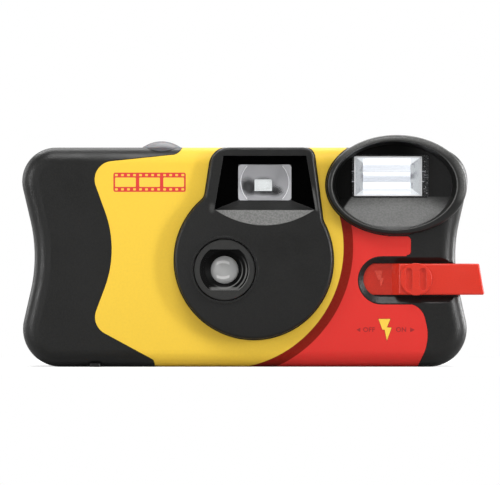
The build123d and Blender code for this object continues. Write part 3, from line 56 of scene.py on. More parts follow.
Socket = bpy.types.NodeSocket
Value = Socket | float


def srgb(red: int, green: int, blue: int) -> Colour:
    """Turns a colour as a screen shows it into linear light.

    Args:
        red: Red from 0 to 255.
        green: Green from 0 to 255.
        blue: Blue from 0 to 255.

    Returns:
        The three linear values.
    """
    shares = (value / 255 for value in (red, green, blue))
    return tuple(s / 12.92 if s <= 0.04045 else ((s + 0.055) / 1.055) ** 2.4 for s in shares)


YELLOW = srgb(240, 200, 68)
RED = srgb(214, 50, 46)
DARK_RED = srgb(130, 14, 2)
MARK_RED = srgb(150, 20, 22)
WHITE = (1.0, 1.0, 1.0)
# X and Z of the middles of the finder and the flash, then the Y of the label's face, in millimetres
FINDER_MIDDLE = (5.6, 49.0)
FLASH_MIDDLE = (38.4, 50.7)
LABEL_FACE = -15.0
# The width of a mask's soft edge, in millimetres
FADE = 0.1
# The values between which nearly all of a cloudy pattern lies
CLOUD_RANGE = (0.3, 0.7)
# By how much a letter's strokes are widened, as a share of its size
LETTER_WEIGHT = 0.02


class Body(Enum):
    """The moving groups of the camera that the scene's own pieces ride on."""

    CASING = "casing"
    SLIDER = "slider"
    COUNTER = "counter"


# Materials

class Recipe:
    """One node material while it is put together.

    Its across, deep and up are the object's own X, Y and Z in millimetres.
    """

    def __init__(self, name: str) -> None:
        """Starts a material with a Principled shader.

        Args:
            name: The material's name.
        """
        self.material = bpy.data.materials.new(name)
        self.material.use_nodes = True
        self.tree = self.material.node_tree
        self.shader = self.tree.nodes["Principled BSDF"]
        self.output = self.tree.nodes["Material Output"]
        self.place = self.tree.nodes.new("ShaderNodeTexCoord").outputs["Object"]
        split = self.tree.nodes.new("ShaderNodeSeparateXYZ")
        self.join(split.inputs[0], self.place)
        self.across, self.deep, self.up = (self.math("MULTIPLY", axis, 1 / MM) for axis in split.outputs)

    def join(self, socket: Socket, value: Socket | float | tuple) -> None:
        """Feeds a socket from another socket, or sets it to a constant.

        Args:
            socket: The input that is fed.
            value: An output socket, a number or a colour.
        """
        if isinstance(value, bpy.types.NodeSocket):
            self.tree.links.new(value, socket)
        elif isinstance(value, tuple) and len(value) == 3 and socket.type == "RGBA":
            socket.default_value = (*value, 1.0)
        else:
            socket.default_value = value

    def add(self, kind: str, *values: Socket | float | tuple) -> Socket:
        """Adds a node and feeds its first inputs in order.

        Args:
            kind: The node's kind in Blender.
            *values: What its inputs are fed with.

        Returns:
            The node's first output.
        """
        node = self.tree.nodes.new(kind)
        for socket, value in zip(node.inputs, values):
            self.join(socket, value)
        return node.outputs[0]

    def math(self, operation: str, *values: Value) -> Socket:
        """Adds arithmetic nodes that take in values from left to right.

        Args:
            operation: The operation's name in Blender.
            *values: The value, or two or more of them.

        Returns:
            The result's socket.
        """
        total, *others = values
        for value in others or (0.0,):
            node = self.tree.nodes.new("ShaderNodeMath")
            node.operation = operation
            self.join(node.inputs[0], total)
            self.join(node.inputs[1], value)
            total = node.outputs[0]
        return total

    def step(self, value: Socket, low: float, high: float,
             to_low: float = 0.0, to_high: float = 1.0) -> Socket:
        """Maps a value smoothly from one range to another, held at both ends.

        Args:
            value: The value that is mapped.
            low: Where the rise starts.
            high: Where the rise ends.
            to_low: The result at and below low.
            to_high: The result at and above high.

        Returns:
            The result's socket.
        """
        node = self.tree.nodes.new("ShaderNodeMapRange")
        node.interpolation_type = "SMOOTHSTEP"
        for socket, number in zip(node.inputs, (value, low, high, to_low, to_high)):
            self.join(socket, number)
        return node.outputs[0]

    def fall(self, value: Socket, low: float, high: float) -> Socket:
        """Returns a mask that falls from 1 at a low value to 0 at a high one."""
        return self.step(value, low, high, 1.0, 0.0)

    def vary(self, pattern: Socket, low: float = 0.0, high: float = 1.0) -> Socket:
        """Returns a cloudy pattern spread over a range."""
        return self.step(pattern, *CLOUD_RANGE, low, high)

    def away(self, value: Socket, middle: float) -> Socket:
        """Returns how far a value lies from a middle, without a sign."""
        return self.math("ABSOLUTE", self.math("SUBTRACT", value, middle))

    def length(self, side: Socket, rise: Socket) -> Socket:
        """Returns the length of a way that leads so far sideways and so far up."""
        squares = (self.math("MULTIPLY", value, value) for value in (side, rise))
        return self.math("SQRT", self.math("ADD", *squares))

    def offsets(self, centre: Point) -> tuple[Socket, Socket]:
        """Returns how far a place lies beside and above or below an X and Z, both without a sign."""
        return self.away(self.across, centre[0]), self.away(self.up, centre[1])

    def reach(self, centre: Point, size: Point = (1.0, 1.0)) -> Socket:
        """Measures how far a place lies from a point of the front, in millimetres or in sizes of an oval.

        Args:
            centre: The point's X and Z in millimetres.
            size: By how much each direction is shortened.

        Returns:
            The distance's socket.
        """
        side, rise = self.offsets(centre)
        return self.length(self.math("MULTIPLY", side, 1 / size[0]), self.math("MULTIPLY", rise, 1 / size[1]))

    def noise(self, size: float, detail: float = 2.0, stretch: tuple = (1.0, 1.0, 1.0)) -> Socket:
        """Adds a cloudy pattern.

        Args:
            size: The size of its features in millimetres.
            detail: How many finer layers it has.
            stretch: How much each axis is compressed.

        Returns:
            The pattern's socket, from 0 to 1.
        """
        mapping = self.tree.nodes.new("ShaderNodeMapping")
        mapping.inputs["Scale"].default_value = stretch
        self.join(mapping.inputs["Vector"], self.place)
        node = self.tree.nodes.new("ShaderNodeTexNoise")
        node.inputs["Scale"].default_value = 1.0 / (size * MM)
        node.inputs["Detail"].default_value = detail
        self.join(node.inputs["Vector"], mapping.outputs[0])
        return node.outputs["Fac"]

    def mix(self, factor: Value, first: Socket | Colour, second: Socket | Colour) -> Socket:
        """Blends two colours.

        Args:
            factor: 0 gives the first colour and 1 the second.
            first: The first colour.
            second: The second colour.

        Returns:
            The blended colour's socket.
        """
        node = self.tree.nodes.new("ShaderNodeMix")
        node.data_type = "RGBA"
        self.join(node.inputs[0], factor)
        self.join(node.inputs[6], first)
        self.join(node.inputs[7], second)
        return node.outputs[2]

    def bump(self, height: Socket, depth: float, edge: float = 0.0) -> None:
        """Gives the surface relief, and rounds its edges for the light.

        Args:
            height: The relief, from 0 to 1.
            depth: How deep the relief is in millimetres.
            edge: The radius by which edges look rounded, in millimetres.
        """
        node = self.tree.nodes.new("ShaderNodeBump")
        node.inputs["Distance"].default_value = depth * MM
        self.join(node.inputs["Height"], height)
        if edge > 0:
            rounding = self.tree.nodes.new("ShaderNodeBevel")
            rounding.samples = 6
            rounding.inputs["Radius"].default_value = edge * MM
            self.join(node.inputs["Normal"], rounding.outputs[0])
        self.join(self.shader.inputs["Normal"], node.outputs[0])

    def set(self, **values: Socket | float | tuple) -> None:
        """Feeds the shader's own sockets.

        Args:
            **values: What each gets, with underscores for the spaces in its name.
        """
        for name, value in values.items():
            self.join(self.shader.inputs[name.replace("_", " ")], value)


@dataclass(frozen=True)
class Moulding:
    """A moulded plastic or lacquered finish with a fine grain."""

    name: str
    colour: Colour
    roughness: float = 0.42
    spread: float = 0.06
    specular: float = 0.5
    grain: float = 0.3
    depth: float = 0.012
    mottle: float = 0.12
    edge: float = 0.12
    metallic: float = 0.0
    glow: float = 0.0
    cloud: float = 9.0

    def finish(self, recipe: Recipe, colour: Socket, rough: Socket) -> None:
        """Feeds the mottled colour and the cloudy roughness to the shader."""
        recipe.set(Base_Color=colour, Roughness=rough, Specular_IOR_Level=self.specular)

    def make(self) -> bpy.types.Material:
        """Builds the node material."""
        recipe = Recipe(self.name)
        grain = recipe.noise(self.grain, 3.0)
        dark = tuple(value * (1 - self.mottle) for value in self.colour)
        light = tuple(min(value * (1 + self.mottle), 1.0) for value in self.colour)
        clouds = recipe.noise(self.cloud, 3.0)
        rough = recipe.vary(clouds, self.roughness - self.spread, self.roughness + self.spread)
        self.finish(recipe, recipe.mix(recipe.vary(grain), dark, light), rough)
        recipe.set(Metallic=self.metallic)
        if self.glow > 0:
            recipe.set(Subsurface_Weight=self.glow, Subsurface_Scale=4 * MM)
        recipe.bump(grain, self.depth, self.edge)
        return recipe.material


@dataclass(frozen=True)
class Ink(Moulding):
    """A printed ink, or the finish of a mark as fine as print."""

    roughness: float = 0.4
    depth: float = 0.001
    mottle: float = 0.03
    edge: float = 0.0


@dataclass(frozen=True)
class CasingPlastic(Moulding):
    """The casing's black plastic, with painted shade that makes it near black and without gloss in the
    finder's hood and the flash bowl, and painted highlights on its rims and the flash head.

    A pair is a place's X and Z, a half width and a half height, or where a mask starts and ends.
    """

    lens: Point = FINDER_MIDDLE
    lens_half: Point = (7.05, 4.75)
    corner_slope: float = 2.49
    mouth_foot: Point = (13.4, 41.7)
    mouth_top: float = 56.1
    mouth_slope: float = 0.167
    mouth_depths: Point = (-18.5, -13.3)
    rim_width: float = 0.85
    rim_share: float = 0.55
    chin: Point = (5.6, 61.0)
    chin_radius: float = 23.4
    left_foot: Point = (-8.4, 42.2)
    foot_reach: Point = (1.1, 1.8)
    foot_share: float = 0.3
    bowl: Point = (40.0, 48.3)
    bowl_half: Point = (16.5, 11.8)
    bowl_edge: float = 0.995
    bowl_depths: Point = (-17.3, -9.0)
    dish_widths: Point = (42.0, 55.0)
    dish_shares: Point = (0.72, 0.1)
    lip: float = 1.012
    lip_line: Point = (0.004, 0.013)
    lip_share: float = 0.75
    lip_heights: Point = (51.0, 57.0)
    scoop_top: float = 45.3
    scoop_left: float = 28.9
    scoop_slant: float = 0.7
    scoop_edge: Point = (-0.5, 0.3)
    scoop_middle: Point = (38.5, 41.5)
    scoop_reach: Point = (14.0, 6.0)
    scoop_share: float = 0.62
    head: Point = (40.6, 48.3)
    head_half: Point = (18.7, 13.3)
    crown_inner: Point = (0.87, 0.94)
    crown_outer: Point = (1.02, 1.05)
    crown_share: float = 0.6
    crown_heights: Point = (53.0, 59.0)
    cheek_widths: Point = (53.0, 59.0)
    cheek_heights: Point = (43.0, 46.0)
    speck: float = 0.45
    # How far the painted shade darkens the hood and the bowl
    painted_shade_share: float = 0.96
    # The colour of the painted highlights
    pale: Colour = (0.15, 0.15, 0.145)

    def beside_mouth(self, recipe: Recipe, side: Socket) -> Socket:
        """Measures how far a place lies outside the hood's sloping mouth.

        Args:
            recipe: The material being made.
            side: The distance beside the lens in millimetres.

        Returns:
            The distance in millimetres, less than zero inside.
        """
        over_foot = recipe.math("SUBTRACT", recipe.up, self.mouth_foot[1])
        lean = recipe.math("MULTIPLY", over_foot, self.mouth_slope)
        return recipe.math("SUBTRACT", recipe.math("ADD", side, lean), self.mouth_foot[0])

    def hood(self, recipe: Recipe) -> Socket:
        """Masks the hood's side walls and roof, where shade is painted.

        Args:
            recipe: The material being made.

        Returns:
            The mask.
        """
        side, _ = recipe.offsets(self.lens)
        foot, roof = self.lens[1] - self.lens_half[1], self.lens[1] + self.lens_half[1]
        below = recipe.math("MAXIMUM", recipe.math("SUBTRACT", foot, recipe.up), 0.0)
        edge = recipe.math("ADD", recipe.math("MULTIPLY", below, self.corner_slope), self.lens_half[0])
        beside = recipe.step(recipe.math("SUBTRACT", side, edge), 0.0, 0.12)
        start, end = self.mouth_depths
        return recipe.math(
            "MULTIPLY", recipe.math("MAXIMUM", beside, recipe.step(recipe.up, roof, roof + FADE)),
            recipe.fall(self.beside_mouth(recipe, side), -FADE / 2, FADE / 2),
            recipe.step(recipe.up, self.mouth_foot[1] - FADE / 2, self.mouth_foot[1] + FADE / 2),
            recipe.fall(recipe.up, self.mouth_top - FADE, self.mouth_top),
            recipe.step(recipe.deep, start, start + 2 * FADE), recipe.fall(recipe.deep, end, end + FADE))

    def past_slant(self, recipe: Recipe) -> Socket:
        """Measures how far right of the scoop's slanting left edge a place lies.

        Args:
            recipe: The material being made.

        Returns:
            The distance in millimetres, less than zero at the left.
        """
        drop = recipe.math("MULTIPLY", recipe.math("SUBTRACT", self.scoop_top, recipe.up), self.scoop_slant)
        return recipe.math("SUBTRACT", recipe.math("ADD", recipe.across, drop), self.scoop_left)

    def in_bowl(self, recipe: Recipe, start: float, share: float) -> Socket:
        """Masks the inside of the flash bowl.

        Args:
            recipe: The material being made.
            start: Where the mask starts to fade, as a share of the bowl's size.
            share: The mask's strength.

        Returns:
            The mask.
        """
        front, rear = self.bowl_depths
        away = recipe.reach(self.bowl, self.bowl_half)
        return recipe.math(
            "MULTIPLY", recipe.step(away, start, self.bowl_edge, share, 0.0),
            recipe.step(recipe.deep, front, front + 0.6), recipe.fall(recipe.deep, rear - 0.5, rear))

    def dish(self, recipe: Recipe) -> Socket:
        """Masks the flash bowl above its scoop for painted shade, less at the right.

        Args:
            recipe: The material being made.

        Returns:
            The mask.
        """
        above = recipe.step(recipe.up, self.scoop_top, self.scoop_top + FADE)
        beside = recipe.fall(self.past_slant(recipe), *self.scoop_edge)
        return recipe.math(
            "MULTIPLY", self.in_bowl(recipe, 0.97, 1.0), recipe.math("MAXIMUM", above, beside),
            recipe.step(recipe.across, *self.dish_widths, *self.dish_shares))

    def rims(self, recipe: Recipe) -> Socket:
        """Masks the painted highlights on the chin under the finder, the hood's right rim and left foot, and
        the bowl's lip.

        Args:
            recipe: The material being made.

        Returns:
            The mask.
        """
        foot, face, mouth = self.mouth_foot[1], self.bowl_depths[0] + 0.5, self.mouth_depths[0] + 0.6
        chin = recipe.math(
            "MULTIPLY", recipe.fall(recipe.reach(self.chin), self.chin_radius - FADE, self.chin_radius),
            recipe.fall(recipe.up, foot - FADE, foot))
        beside = self.beside_mouth(recipe, recipe.math("SUBTRACT", recipe.across, self.lens[0]))
        right = recipe.math(
            "MULTIPLY", recipe.step(beside, 0.0, 0.15),
            recipe.step(beside, self.rim_width * 0.6, self.rim_width, self.rim_share, 0.0),
            recipe.step(recipe.up, foot - 0.6, foot + 0.4),
            recipe.fall(recipe.up, self.mouth_top, self.mouth_top + 1.0),
            recipe.fall(recipe.deep, mouth, mouth + 2 * FADE))
        away = recipe.away(recipe.reach(self.bowl, self.bowl_half), self.lip)
        lip = recipe.math(
            "MULTIPLY", recipe.step(away, *self.lip_line, self.lip_share, 0.0),
            recipe.step(recipe.up, *self.lip_heights, 1.0, 0.3),
            recipe.fall(recipe.deep, face, face + 0.3))
        left = recipe.step(recipe.reach(self.left_foot, self.foot_reach), 0.2, 1.0, self.foot_share, 0.0)
        painted_highlight = recipe.math("MAXIMUM", chin, right, lip, left)
        return recipe.math("MULTIPLY", painted_highlight, recipe.fall(recipe.deep, face, face + 1.0))

    def sheen(self, recipe: Recipe) -> Socket:
        """Masks the painted sheen on the flash bowl's scoop and on the head's outer round at the top and the
        right.

        Args:
            recipe: The material being made.

        Returns:
            The mask.
        """
        scoop = recipe.math(
            "MULTIPLY", self.in_bowl(recipe, 0.95, self.scoop_share),
            recipe.fall(recipe.up, self.scoop_top - FADE, self.scoop_top),
            recipe.step(self.past_slant(recipe), *self.scoop_edge),
            recipe.step(recipe.reach(self.scoop_middle, self.scoop_reach), 0.75, 1.15, 1.0, 0.3))
        cheek = recipe.math("MULTIPLY", recipe.step(recipe.across, *self.cheek_widths),
                            recipe.step(recipe.up, *self.cheek_heights))
        away = recipe.reach(self.head, self.head_half)
        front = self.bowl_depths[0]
        crown = recipe.math(
            "MULTIPLY", recipe.step(away, *self.crown_inner, 0.0, self.crown_share),
            recipe.fall(away, *self.crown_outer),
            recipe.math("MAXIMUM", recipe.step(recipe.up, *self.crown_heights), cheek),
            recipe.fall(recipe.deep, front, front + 3.0))
        return recipe.math("MAXIMUM", scoop, crown)

    def finish(self, recipe: Recipe, colour: Socket, rough: Socket) -> None:
        """Feeds the colour and the gloss, with painted shade inside the hood and the bowl and painted
        highlights on the rims and the flash head.

        Args:
            recipe: The material being made.
            colour: The mottled colour.
            rough: The cloudy roughness.
        """
        # Painted shade in the hood and the bowl
        painted_shade = recipe.math("MAXIMUM", self.hood(recipe), self.dish(recipe))
        specks = recipe.step(recipe.noise(self.speck, 3.0), 0.35, 0.65, 0.65, 1.0)
        # Speckled painted highlights on the rims, the scoop and the flash head
        painted_highlight = recipe.math("MULTIPLY", recipe.math("MAXIMUM", self.rims(recipe), self.sheen(recipe)), specks)
        shown = recipe.mix(recipe.math("MULTIPLY", painted_shade, self.painted_shade_share), colour, (0.0, 0.0, 0.0))
        recipe.set(Base_Color=recipe.mix(painted_highlight, shown, self.pale),
                   Roughness=recipe.math("MAXIMUM", rough, recipe.math("MULTIPLY", painted_shade, 0.9)),
                   Specular_IOR_Level=recipe.step(painted_shade, 0.0, 1.0, self.specular, 0.02))


@dataclass(frozen=True)
class RingPlastic(Moulding):
    """The lens ring's plastic, with painted shade in its stepped mouth and painted highlights on fine edges
    at the right and on the low ledge.
    """

    centre: Point = (-5.1, 25.8)
    mouth: float = 6.6
    flat: float = 5.4
    ledges: tuple[Point, ...] = ((6.5, 0.08), (5.8, 0.12), (4.75, 0.08))
    lit_reach: float = 7.0
    low_heights: Point = (21.0, 21.4)
    low_widths: Point = (3.2, 4.4)
    low_share: float = 0.9
    # The colour of the painted shade in the mouth
    inner: Colour = (0.002, 0.002, 0.002)
    # The colour of the painted highlights
    pale: Colour = (0.16, 0.16, 0.155)

    def finish(self, recipe: Recipe, colour: Socket, rough: Socket) -> None:
        """Feeds the colour, with painted shade inside the mouth and painted highlights on its edges and its
        low ledge, and the gloss.

        Args:
            recipe: The material being made.
            colour: The mottled colour.
            rough: The cloudy roughness.
        """
        reach = recipe.reach(self.centre)
        side, rise = recipe.offsets(self.centre)
        # Painted shade inside the mouth
        inside = recipe.math("MULTIPLY", recipe.fall(reach, self.mouth - FADE / 2, self.mouth + FADE / 2),
                             recipe.fall(rise, self.flat - FADE / 2, self.flat + FADE / 2))
        lean = recipe.math("SUBTRACT", recipe.across, recipe.up, self.centre[0] - self.centre[1])
        # Painted highlights on the ledges' edges at the right and on the low ledge
        edges = recipe.math("MAXIMUM", *(recipe.fall(recipe.away(reach, radius), width, width * 2.2)
                                         for radius, width in self.ledges))
        lit = recipe.math("MULTIPLY", edges, recipe.step(lean, 0.0, self.lit_reach))
        low = recipe.math("MULTIPLY", recipe.fall(recipe.up, *self.low_heights),
                          recipe.step(side, *self.low_widths, self.low_share, 0.0))
        stepped = recipe.mix(recipe.math("MAXIMUM", lit, low), self.inner, self.pale)
        recipe.set(Base_Color=recipe.mix(inside, colour, stepped), Roughness=rough,
                   Specular_IOR_Level=recipe.step(inside, 0.0, 1.0, self.specular, 0.1))


@dataclass(frozen=True)
class Drawn:
    """A metal finish with fine lines along one axis."""

    name: str
    colour: Colour
    roughness: float = 0.3
    stretch: tuple = (0.04, 1.0, 1.0)
    line: float = 0.35
    depth: float = 0.006
    edge: float = 0.05

    def make(self) -> bpy.types.Material:
        """Builds the node material."""
        recipe = Recipe(self.name)
        lines = recipe.noise(self.line, 2.0, self.stretch)
        dark = tuple(value * 0.82 for value in self.colour)
        recipe.set(Base_Color=recipe.mix(lines, dark, self.colour), Metallic=1.0,
                   Roughness=recipe.vary(lines, self.roughness * 0.8, self.roughness * 1.25))
        recipe.bump(lines, self.depth, self.edge)
        return recipe.material


@dataclass(frozen=True)
class Clear:
    """A clear moulded window or lens that lets lamp light through."""

    name: str
    tint: Colour = (0.96, 0.97, 0.97)
    roughness: float = 0.03
    haze: float = 0.0
    haze_colour: Colour = (0.8, 0.8, 0.82)
    strength: float = 1.0
    index: float = 1.49
    ripple: float = 2.5

    def cloud(self, recipe: Recipe) -> Value:
        """Says how much of the body is hazy, from 0 to 1."""
        return self.haze

    def make(self) -> bpy.types.Material:
        """Builds the node material: a gloss over a see-through body with a little haze."""
        recipe = Recipe(self.name)
        ripple = recipe.noise(self.ripple, 1.0)
        recipe.set(Base_Color=self.haze_colour, IOR=self.index, Specular_IOR_Level=0.5 * self.strength,
                   Roughness=recipe.step(ripple, 0.2, 0.8, self.roughness, self.roughness + 0.03))
        recipe.bump(ripple, 0.002)
        shown = recipe.math("ADD", recipe.add("ShaderNodeFresnel", self.index), self.cloud(recipe))
        body = recipe.add("ShaderNodeMixShader", recipe.math("MINIMUM", shown, 1.0),
                          recipe.add("ShaderNodeBsdfTransparent", self.tint), recipe.shader.outputs[0])
        recipe.join(recipe.output.inputs["Surface"], body)
        return recipe.material


@dataclass(frozen=True)
class FinderGlass(Clear):
    """The finder's front lens, grey with darker places low at its sides.

    A patch has an X and Z, a half width and a half height in millimetres, and a strength.
    """

    centre: Point = FINDER_MIDDLE
    half: Point = (7.05, 4.75)
    corner: float = 0.8
    ground: float = 6.4
    ground_share: float = 0.3
    patches: tuple = ((0.9, 48.1, 2.1, 2.4, 1.0), (1.9, 47.6, 1.9, 2.2, 1.0), (8.3, 46.8, 2.2, 1.5, 0.95),
                      (5.9, 46.4, 4.4, 0.9, 1.0), (5.2, 48.45, 3.0, 2.0, 1.0))

    def cloud(self, recipe: Recipe) -> Value:
        """Says how much of the lens is hazy at a place.

        Args:
            recipe: The material being made.

        Returns:
            The share of haze, from 0 to 1.
        """
        shares = (recipe.step(recipe.reach((x, z), (width, height)), 0.3, 1.3, 1.0 - depth, 1.0)
                  for x, z, width, height, depth in self.patches)
        share = recipe.math("MULTIPLY", self.haze, *shares)
        rim = recipe.step(recipe.reach(self.centre), self.ground, self.ground + 0.2, 0.0, self.ground_share)
        past = (recipe.math("MAXIMUM", recipe.math("SUBTRACT", offset, half - self.corner), 0.0)
                for offset, half in zip(recipe.offsets(self.centre), self.half))
        kept = recipe.fall(recipe.length(*past), self.corner - 0.03, self.corner + 0.03)
        return recipe.math("MULTIPLY", recipe.math("ADD", share, rim), kept)


@dataclass(frozen=True)
class LensGlass(Clear):
    """The taking lens, with two soft bars of painted highlight where its curves reflect the lamps."""

    centre: Point = (-5.5, 25.8)
    bar_height: float = 2.1
    bar_half: float = 1.75
    bar_width: float = 0.42
    bar_bow: float = 0.13

    def cloud(self, recipe: Recipe) -> Value:
        """Says how much of the lens is hazy at a place, with the bars of painted highlight as extra haze.

        Args:
            recipe: The material being made.

        Returns:
            The share of haze, from 0 to 1.
        """
        side, rise = recipe.offsets(self.centre)
        # Two bars of painted highlight
        bow = recipe.math("MULTIPLY", side, side, self.bar_bow)
        away = recipe.away(recipe.math("ADD", rise, bow), self.bar_height)
        line = recipe.fall(away, self.bar_width * 0.3, self.bar_width * 1.4)
        ends = recipe.fall(side, self.bar_half - 0.3, self.bar_half + 0.2)
        return recipe.math("ADD", recipe.math("MULTIPLY", line, ends, 1.0 - self.haze), self.haze)


@dataclass(frozen=True)
class FlashGlass(Clear):
    """The flash window, with a painted highlight on the bevel round its face and specks in its dark border.
    """

    face: Point = (9.0, 5.25)
    bevel: float = 0.3
    bevel_share: float = 0.55
    speck: float = 0.45
    speck_share: float = 0.5

    def cloud(self, recipe: Recipe) -> Value:
        """Says how much of the window is hazy at a place.

        Args:
            recipe: The material being made.

        Returns:
            The share of haze, from 0 to 1.
        """
        out = recipe.math("MAXIMUM", *(recipe.math("SUBTRACT", offset, half) for offset, half
                                       in zip(recipe.offsets(FLASH_MIDDLE), self.face)))
        # A painted highlight along the bevel
        line = recipe.step(out, -self.bevel - 0.06, -self.bevel)
        inside = recipe.fall(out, 0.0, 0.04)
        specks = recipe.math("MULTIPLY", recipe.step(recipe.noise(self.speck, 3.0), 0.62, 0.7),
                             recipe.step(out, 0.3, 0.5, 0.0, self.speck_share))
        return recipe.math("ADD", recipe.math("MULTIPLY", line, inside, self.bevel_share),
                           recipe.math("MULTIPLY", inside, self.haze), specks)


@dataclass(frozen=True)
class Banded:
    """The reflector, painted pale with soft bands of painted reflection across it, and glowing with painted
    light though it is no lamp.
    """

    name: str
    pale: Colour = (0.95, 0.95, 0.96)
    grey: Colour = (0.62, 0.63, 0.66)
    # Emission strength of the painted glow
    glow: float = 0.75
    radians_per_mm: float = 2.1
    band_share: float = 0.3

    def make(self) -> bpy.types.Material:
        """Builds the node material."""
        recipe = Recipe(self.name)
        lines = recipe.noise(1.6, 2.0, (0.05, 1.0, 1.0))
        over = recipe.math("SUBTRACT", recipe.up, FLASH_MIDDLE[1])
        # Soft bands of painted reflection
        bands = recipe.math("SINE", recipe.math("MULTIPLY", over, self.radians_per_mm))
        shade = recipe.math("ADD", recipe.math("MULTIPLY", bands, self.band_share), lines)
        shown = recipe.mix(recipe.step(shade, 0.3, 0.75), self.grey, self.pale)
        recipe.set(Base_Color=shown, Emission_Color=shown, Emission_Strength=self.glow, Metallic=0.35,
                   Roughness=recipe.vary(lines, 0.2, 0.35))
        recipe.bump(lines, 0.01)
        return recipe.material


@dataclass(frozen=True)
class FacetGlow:
    """The metal of the facets at the flash's ends, with painted light and shade from edge to edge and a
    painted glow.
    """

    name: str = "facet_metal"
    half: Point = (8.85, 5.2)
    slope: float = 0.75
    spot_widths: Point = (6.3, 8.4)
    spot_shares: Point = (0.75, 0.1)
    notch_widths: Point = (6.4, 7.8)
    notch_heights: Point = (0.2, 1.1)
    pale: Colour = (0.85, 0.86, 0.88)
    middling: Colour = (0.5, 0.51, 0.53)
    grey: Colour = (0.16, 0.16, 0.18)
    # Emission strength of the painted glow
    glow: float = 0.5

    def make(self) -> bpy.types.Material:
        """Builds the node material."""
        recipe = Recipe(self.name)
        side, rise = recipe.offsets(FLASH_MIDDLE)
        # Painted light and shade: pale past the slanting edge, middling grey elsewhere, darker at spots and a
        # notch
        notch = recipe.math("MULTIPLY", recipe.fall(rise, *self.notch_heights),
                            recipe.fall(side, *self.notch_widths))
        spots = recipe.math("MULTIPLY", recipe.step(side, *self.spot_widths, *self.spot_shares),
                            recipe.step(recipe.noise(1.1, 3.0, (1.0, 1.0, 0.6)), 0.5, 0.62))
        slant = recipe.math("MULTIPLY", recipe.math("SUBTRACT", self.half[0], side), self.slope)
        over = recipe.math("SUBTRACT", rise, recipe.math("SUBTRACT", self.half[1], slant))
        ends = recipe.mix(recipe.math("MAXIMUM", notch, spots), self.middling, self.grey)
        shown = recipe.mix(recipe.step(over, -FADE, FADE), ends, self.pale)
        recipe.set(Base_Color=shown, Emission_Color=shown, Emission_Strength=self.glow, Metallic=0.4,
                   Roughness=0.25)
        recipe.bump(recipe.noise(1.4), 0.02)
        return recipe.material


@dataclass(frozen=True)
class PrintedLabel:
    """The coated paper of the label: yellow, a curved dark red stripe and a red field."""

    name: str = "printed_label"
    inner_circle: Circle = (-5.9, 31.75, 32.4)
    outer_circle: Circle = (-6.1, 31.95, 35.14)
    top_of_red: float = 41.6
    soil: Colour = (0.25, 0.16, 0.08)
    soil_share: float = 0.06

    def beyond(self, recipe: Recipe, circle: Circle) -> Socket:
        """Masks what lies outside a circle drawn on the front, right of its middle and below the top.

        Args:
            recipe: The material being made.
            circle: Its centre's X and Z and its radius, in millimetres.

        Returns:
            A mask that is 1 outside.
        """
        x, z, radius = circle
        return recipe.math(
            "MULTIPLY", recipe.step(recipe.reach((x, z)), radius - FADE / 2, radius + FADE / 2),
            recipe.step(recipe.across, x, x + FADE),
            recipe.fall(recipe.up, self.top_of_red, self.top_of_red + FADE))

    def make(self) -> bpy.types.Material:
        """Builds the node material."""
        recipe = Recipe(self.name)
        fibres = recipe.noise(0.6, 3.0)
        striped = recipe.mix(self.beyond(recipe, self.inner_circle), YELLOW, DARK_RED)
        printed = recipe.mix(self.beyond(recipe, self.outer_circle), striped, RED)
        soiled = recipe.mix(recipe.step(fibres, 0.2, 0.8, 0.0, self.soil_share), printed, self.soil)
        recipe.set(Base_Color=soiled, Roughness=recipe.vary(recipe.noise(14.0), 0.42, 0.5),
                   Specular_IOR_Level=0.14)
        recipe.bump(fibres, 0.003, 0.08)
        return recipe.material


FINISHES = {
    "casing_plastic": CasingPlastic("casing_plastic", srgb(15, 15, 14), roughness=0.38, specular=0.38,
                                    grain=0.42, depth=0.05, mottle=0.3),
    "frame_plastic": Moulding("frame_plastic", srgb(20, 20, 20), roughness=0.6, specular=0.3),
    "printed_label": PrintedLabel(),
    "clear_plastic": Clear("clear_plastic"),
    "red_plastic": Moulding("red_plastic", srgb(203, 45, 26), roughness=0.36, specular=0.4, mottle=0.05,
                            depth=0.004, glow=0.15),
    "grey_plastic": Moulding("grey_plastic", srgb(90, 89, 93), roughness=0.45, mottle=0.05, depth=0.003,
                             glow=0.3),
    "wheel_plastic": Moulding("wheel_plastic", srgb(58, 58, 58), roughness=0.45),
    "dial_plastic": Moulding("dial_plastic", srgb(228, 228, 224), roughness=0.4, mottle=0.04, depth=0.003),
    "spring_steel": Drawn("spring_steel", (0.55, 0.55, 0.56), 0.25),
    "contact_metal": Drawn("contact_metal", (0.62, 0.58, 0.48), 0.28, (1.0, 1.0, 0.05)),
    "reflector_metal": Banded("reflector_metal"),
    "shutter_metal": Drawn("shutter_metal", srgb(196, 196, 198), 0.42),
    "tube_glass": Clear("tube_glass", (0.98, 0.985, 1.0), 0.05, 0.03, (0.9, 0.9, 0.92), index=1.12),
    "film": Moulding("film", srgb(92, 66, 56), roughness=0.22, depth=0.002, mottle=0.08),
    "felt": Moulding("felt", srgb(18, 18, 18), roughness=0.95, grain=0.12, depth=0.06),
    "cartridge_metal": Moulding("cartridge_metal", srgb(190, 190, 192), roughness=0.3, metallic=0.6),
    "cap_metal": Moulding("cap_metal", srgb(46, 46, 47), roughness=0.35, metallic=0.3),
    "board_laminate": Moulding("board_laminate", srgb(176, 142, 88), roughness=0.55, grain=0.5, mottle=0.15),
    "capacitor_sleeve": Moulding("capacitor_sleeve", srgb(32, 33, 38), roughness=0.3, depth=0.004),
    "transformer_tape": Moulding("transformer_tape", srgb(214, 186, 92), roughness=0.35, depth=0.01),
    "coil_resin": Moulding("coil_resin", srgb(150, 78, 40), roughness=0.3, grain=0.2, depth=0.02),
    "component_resin": Moulding("component_resin", srgb(30, 30, 31), roughness=0.5),
    "cell_jacket": Moulding("cell_jacket", srgb(130, 134, 140), roughness=0.28, metallic=0.5),
}
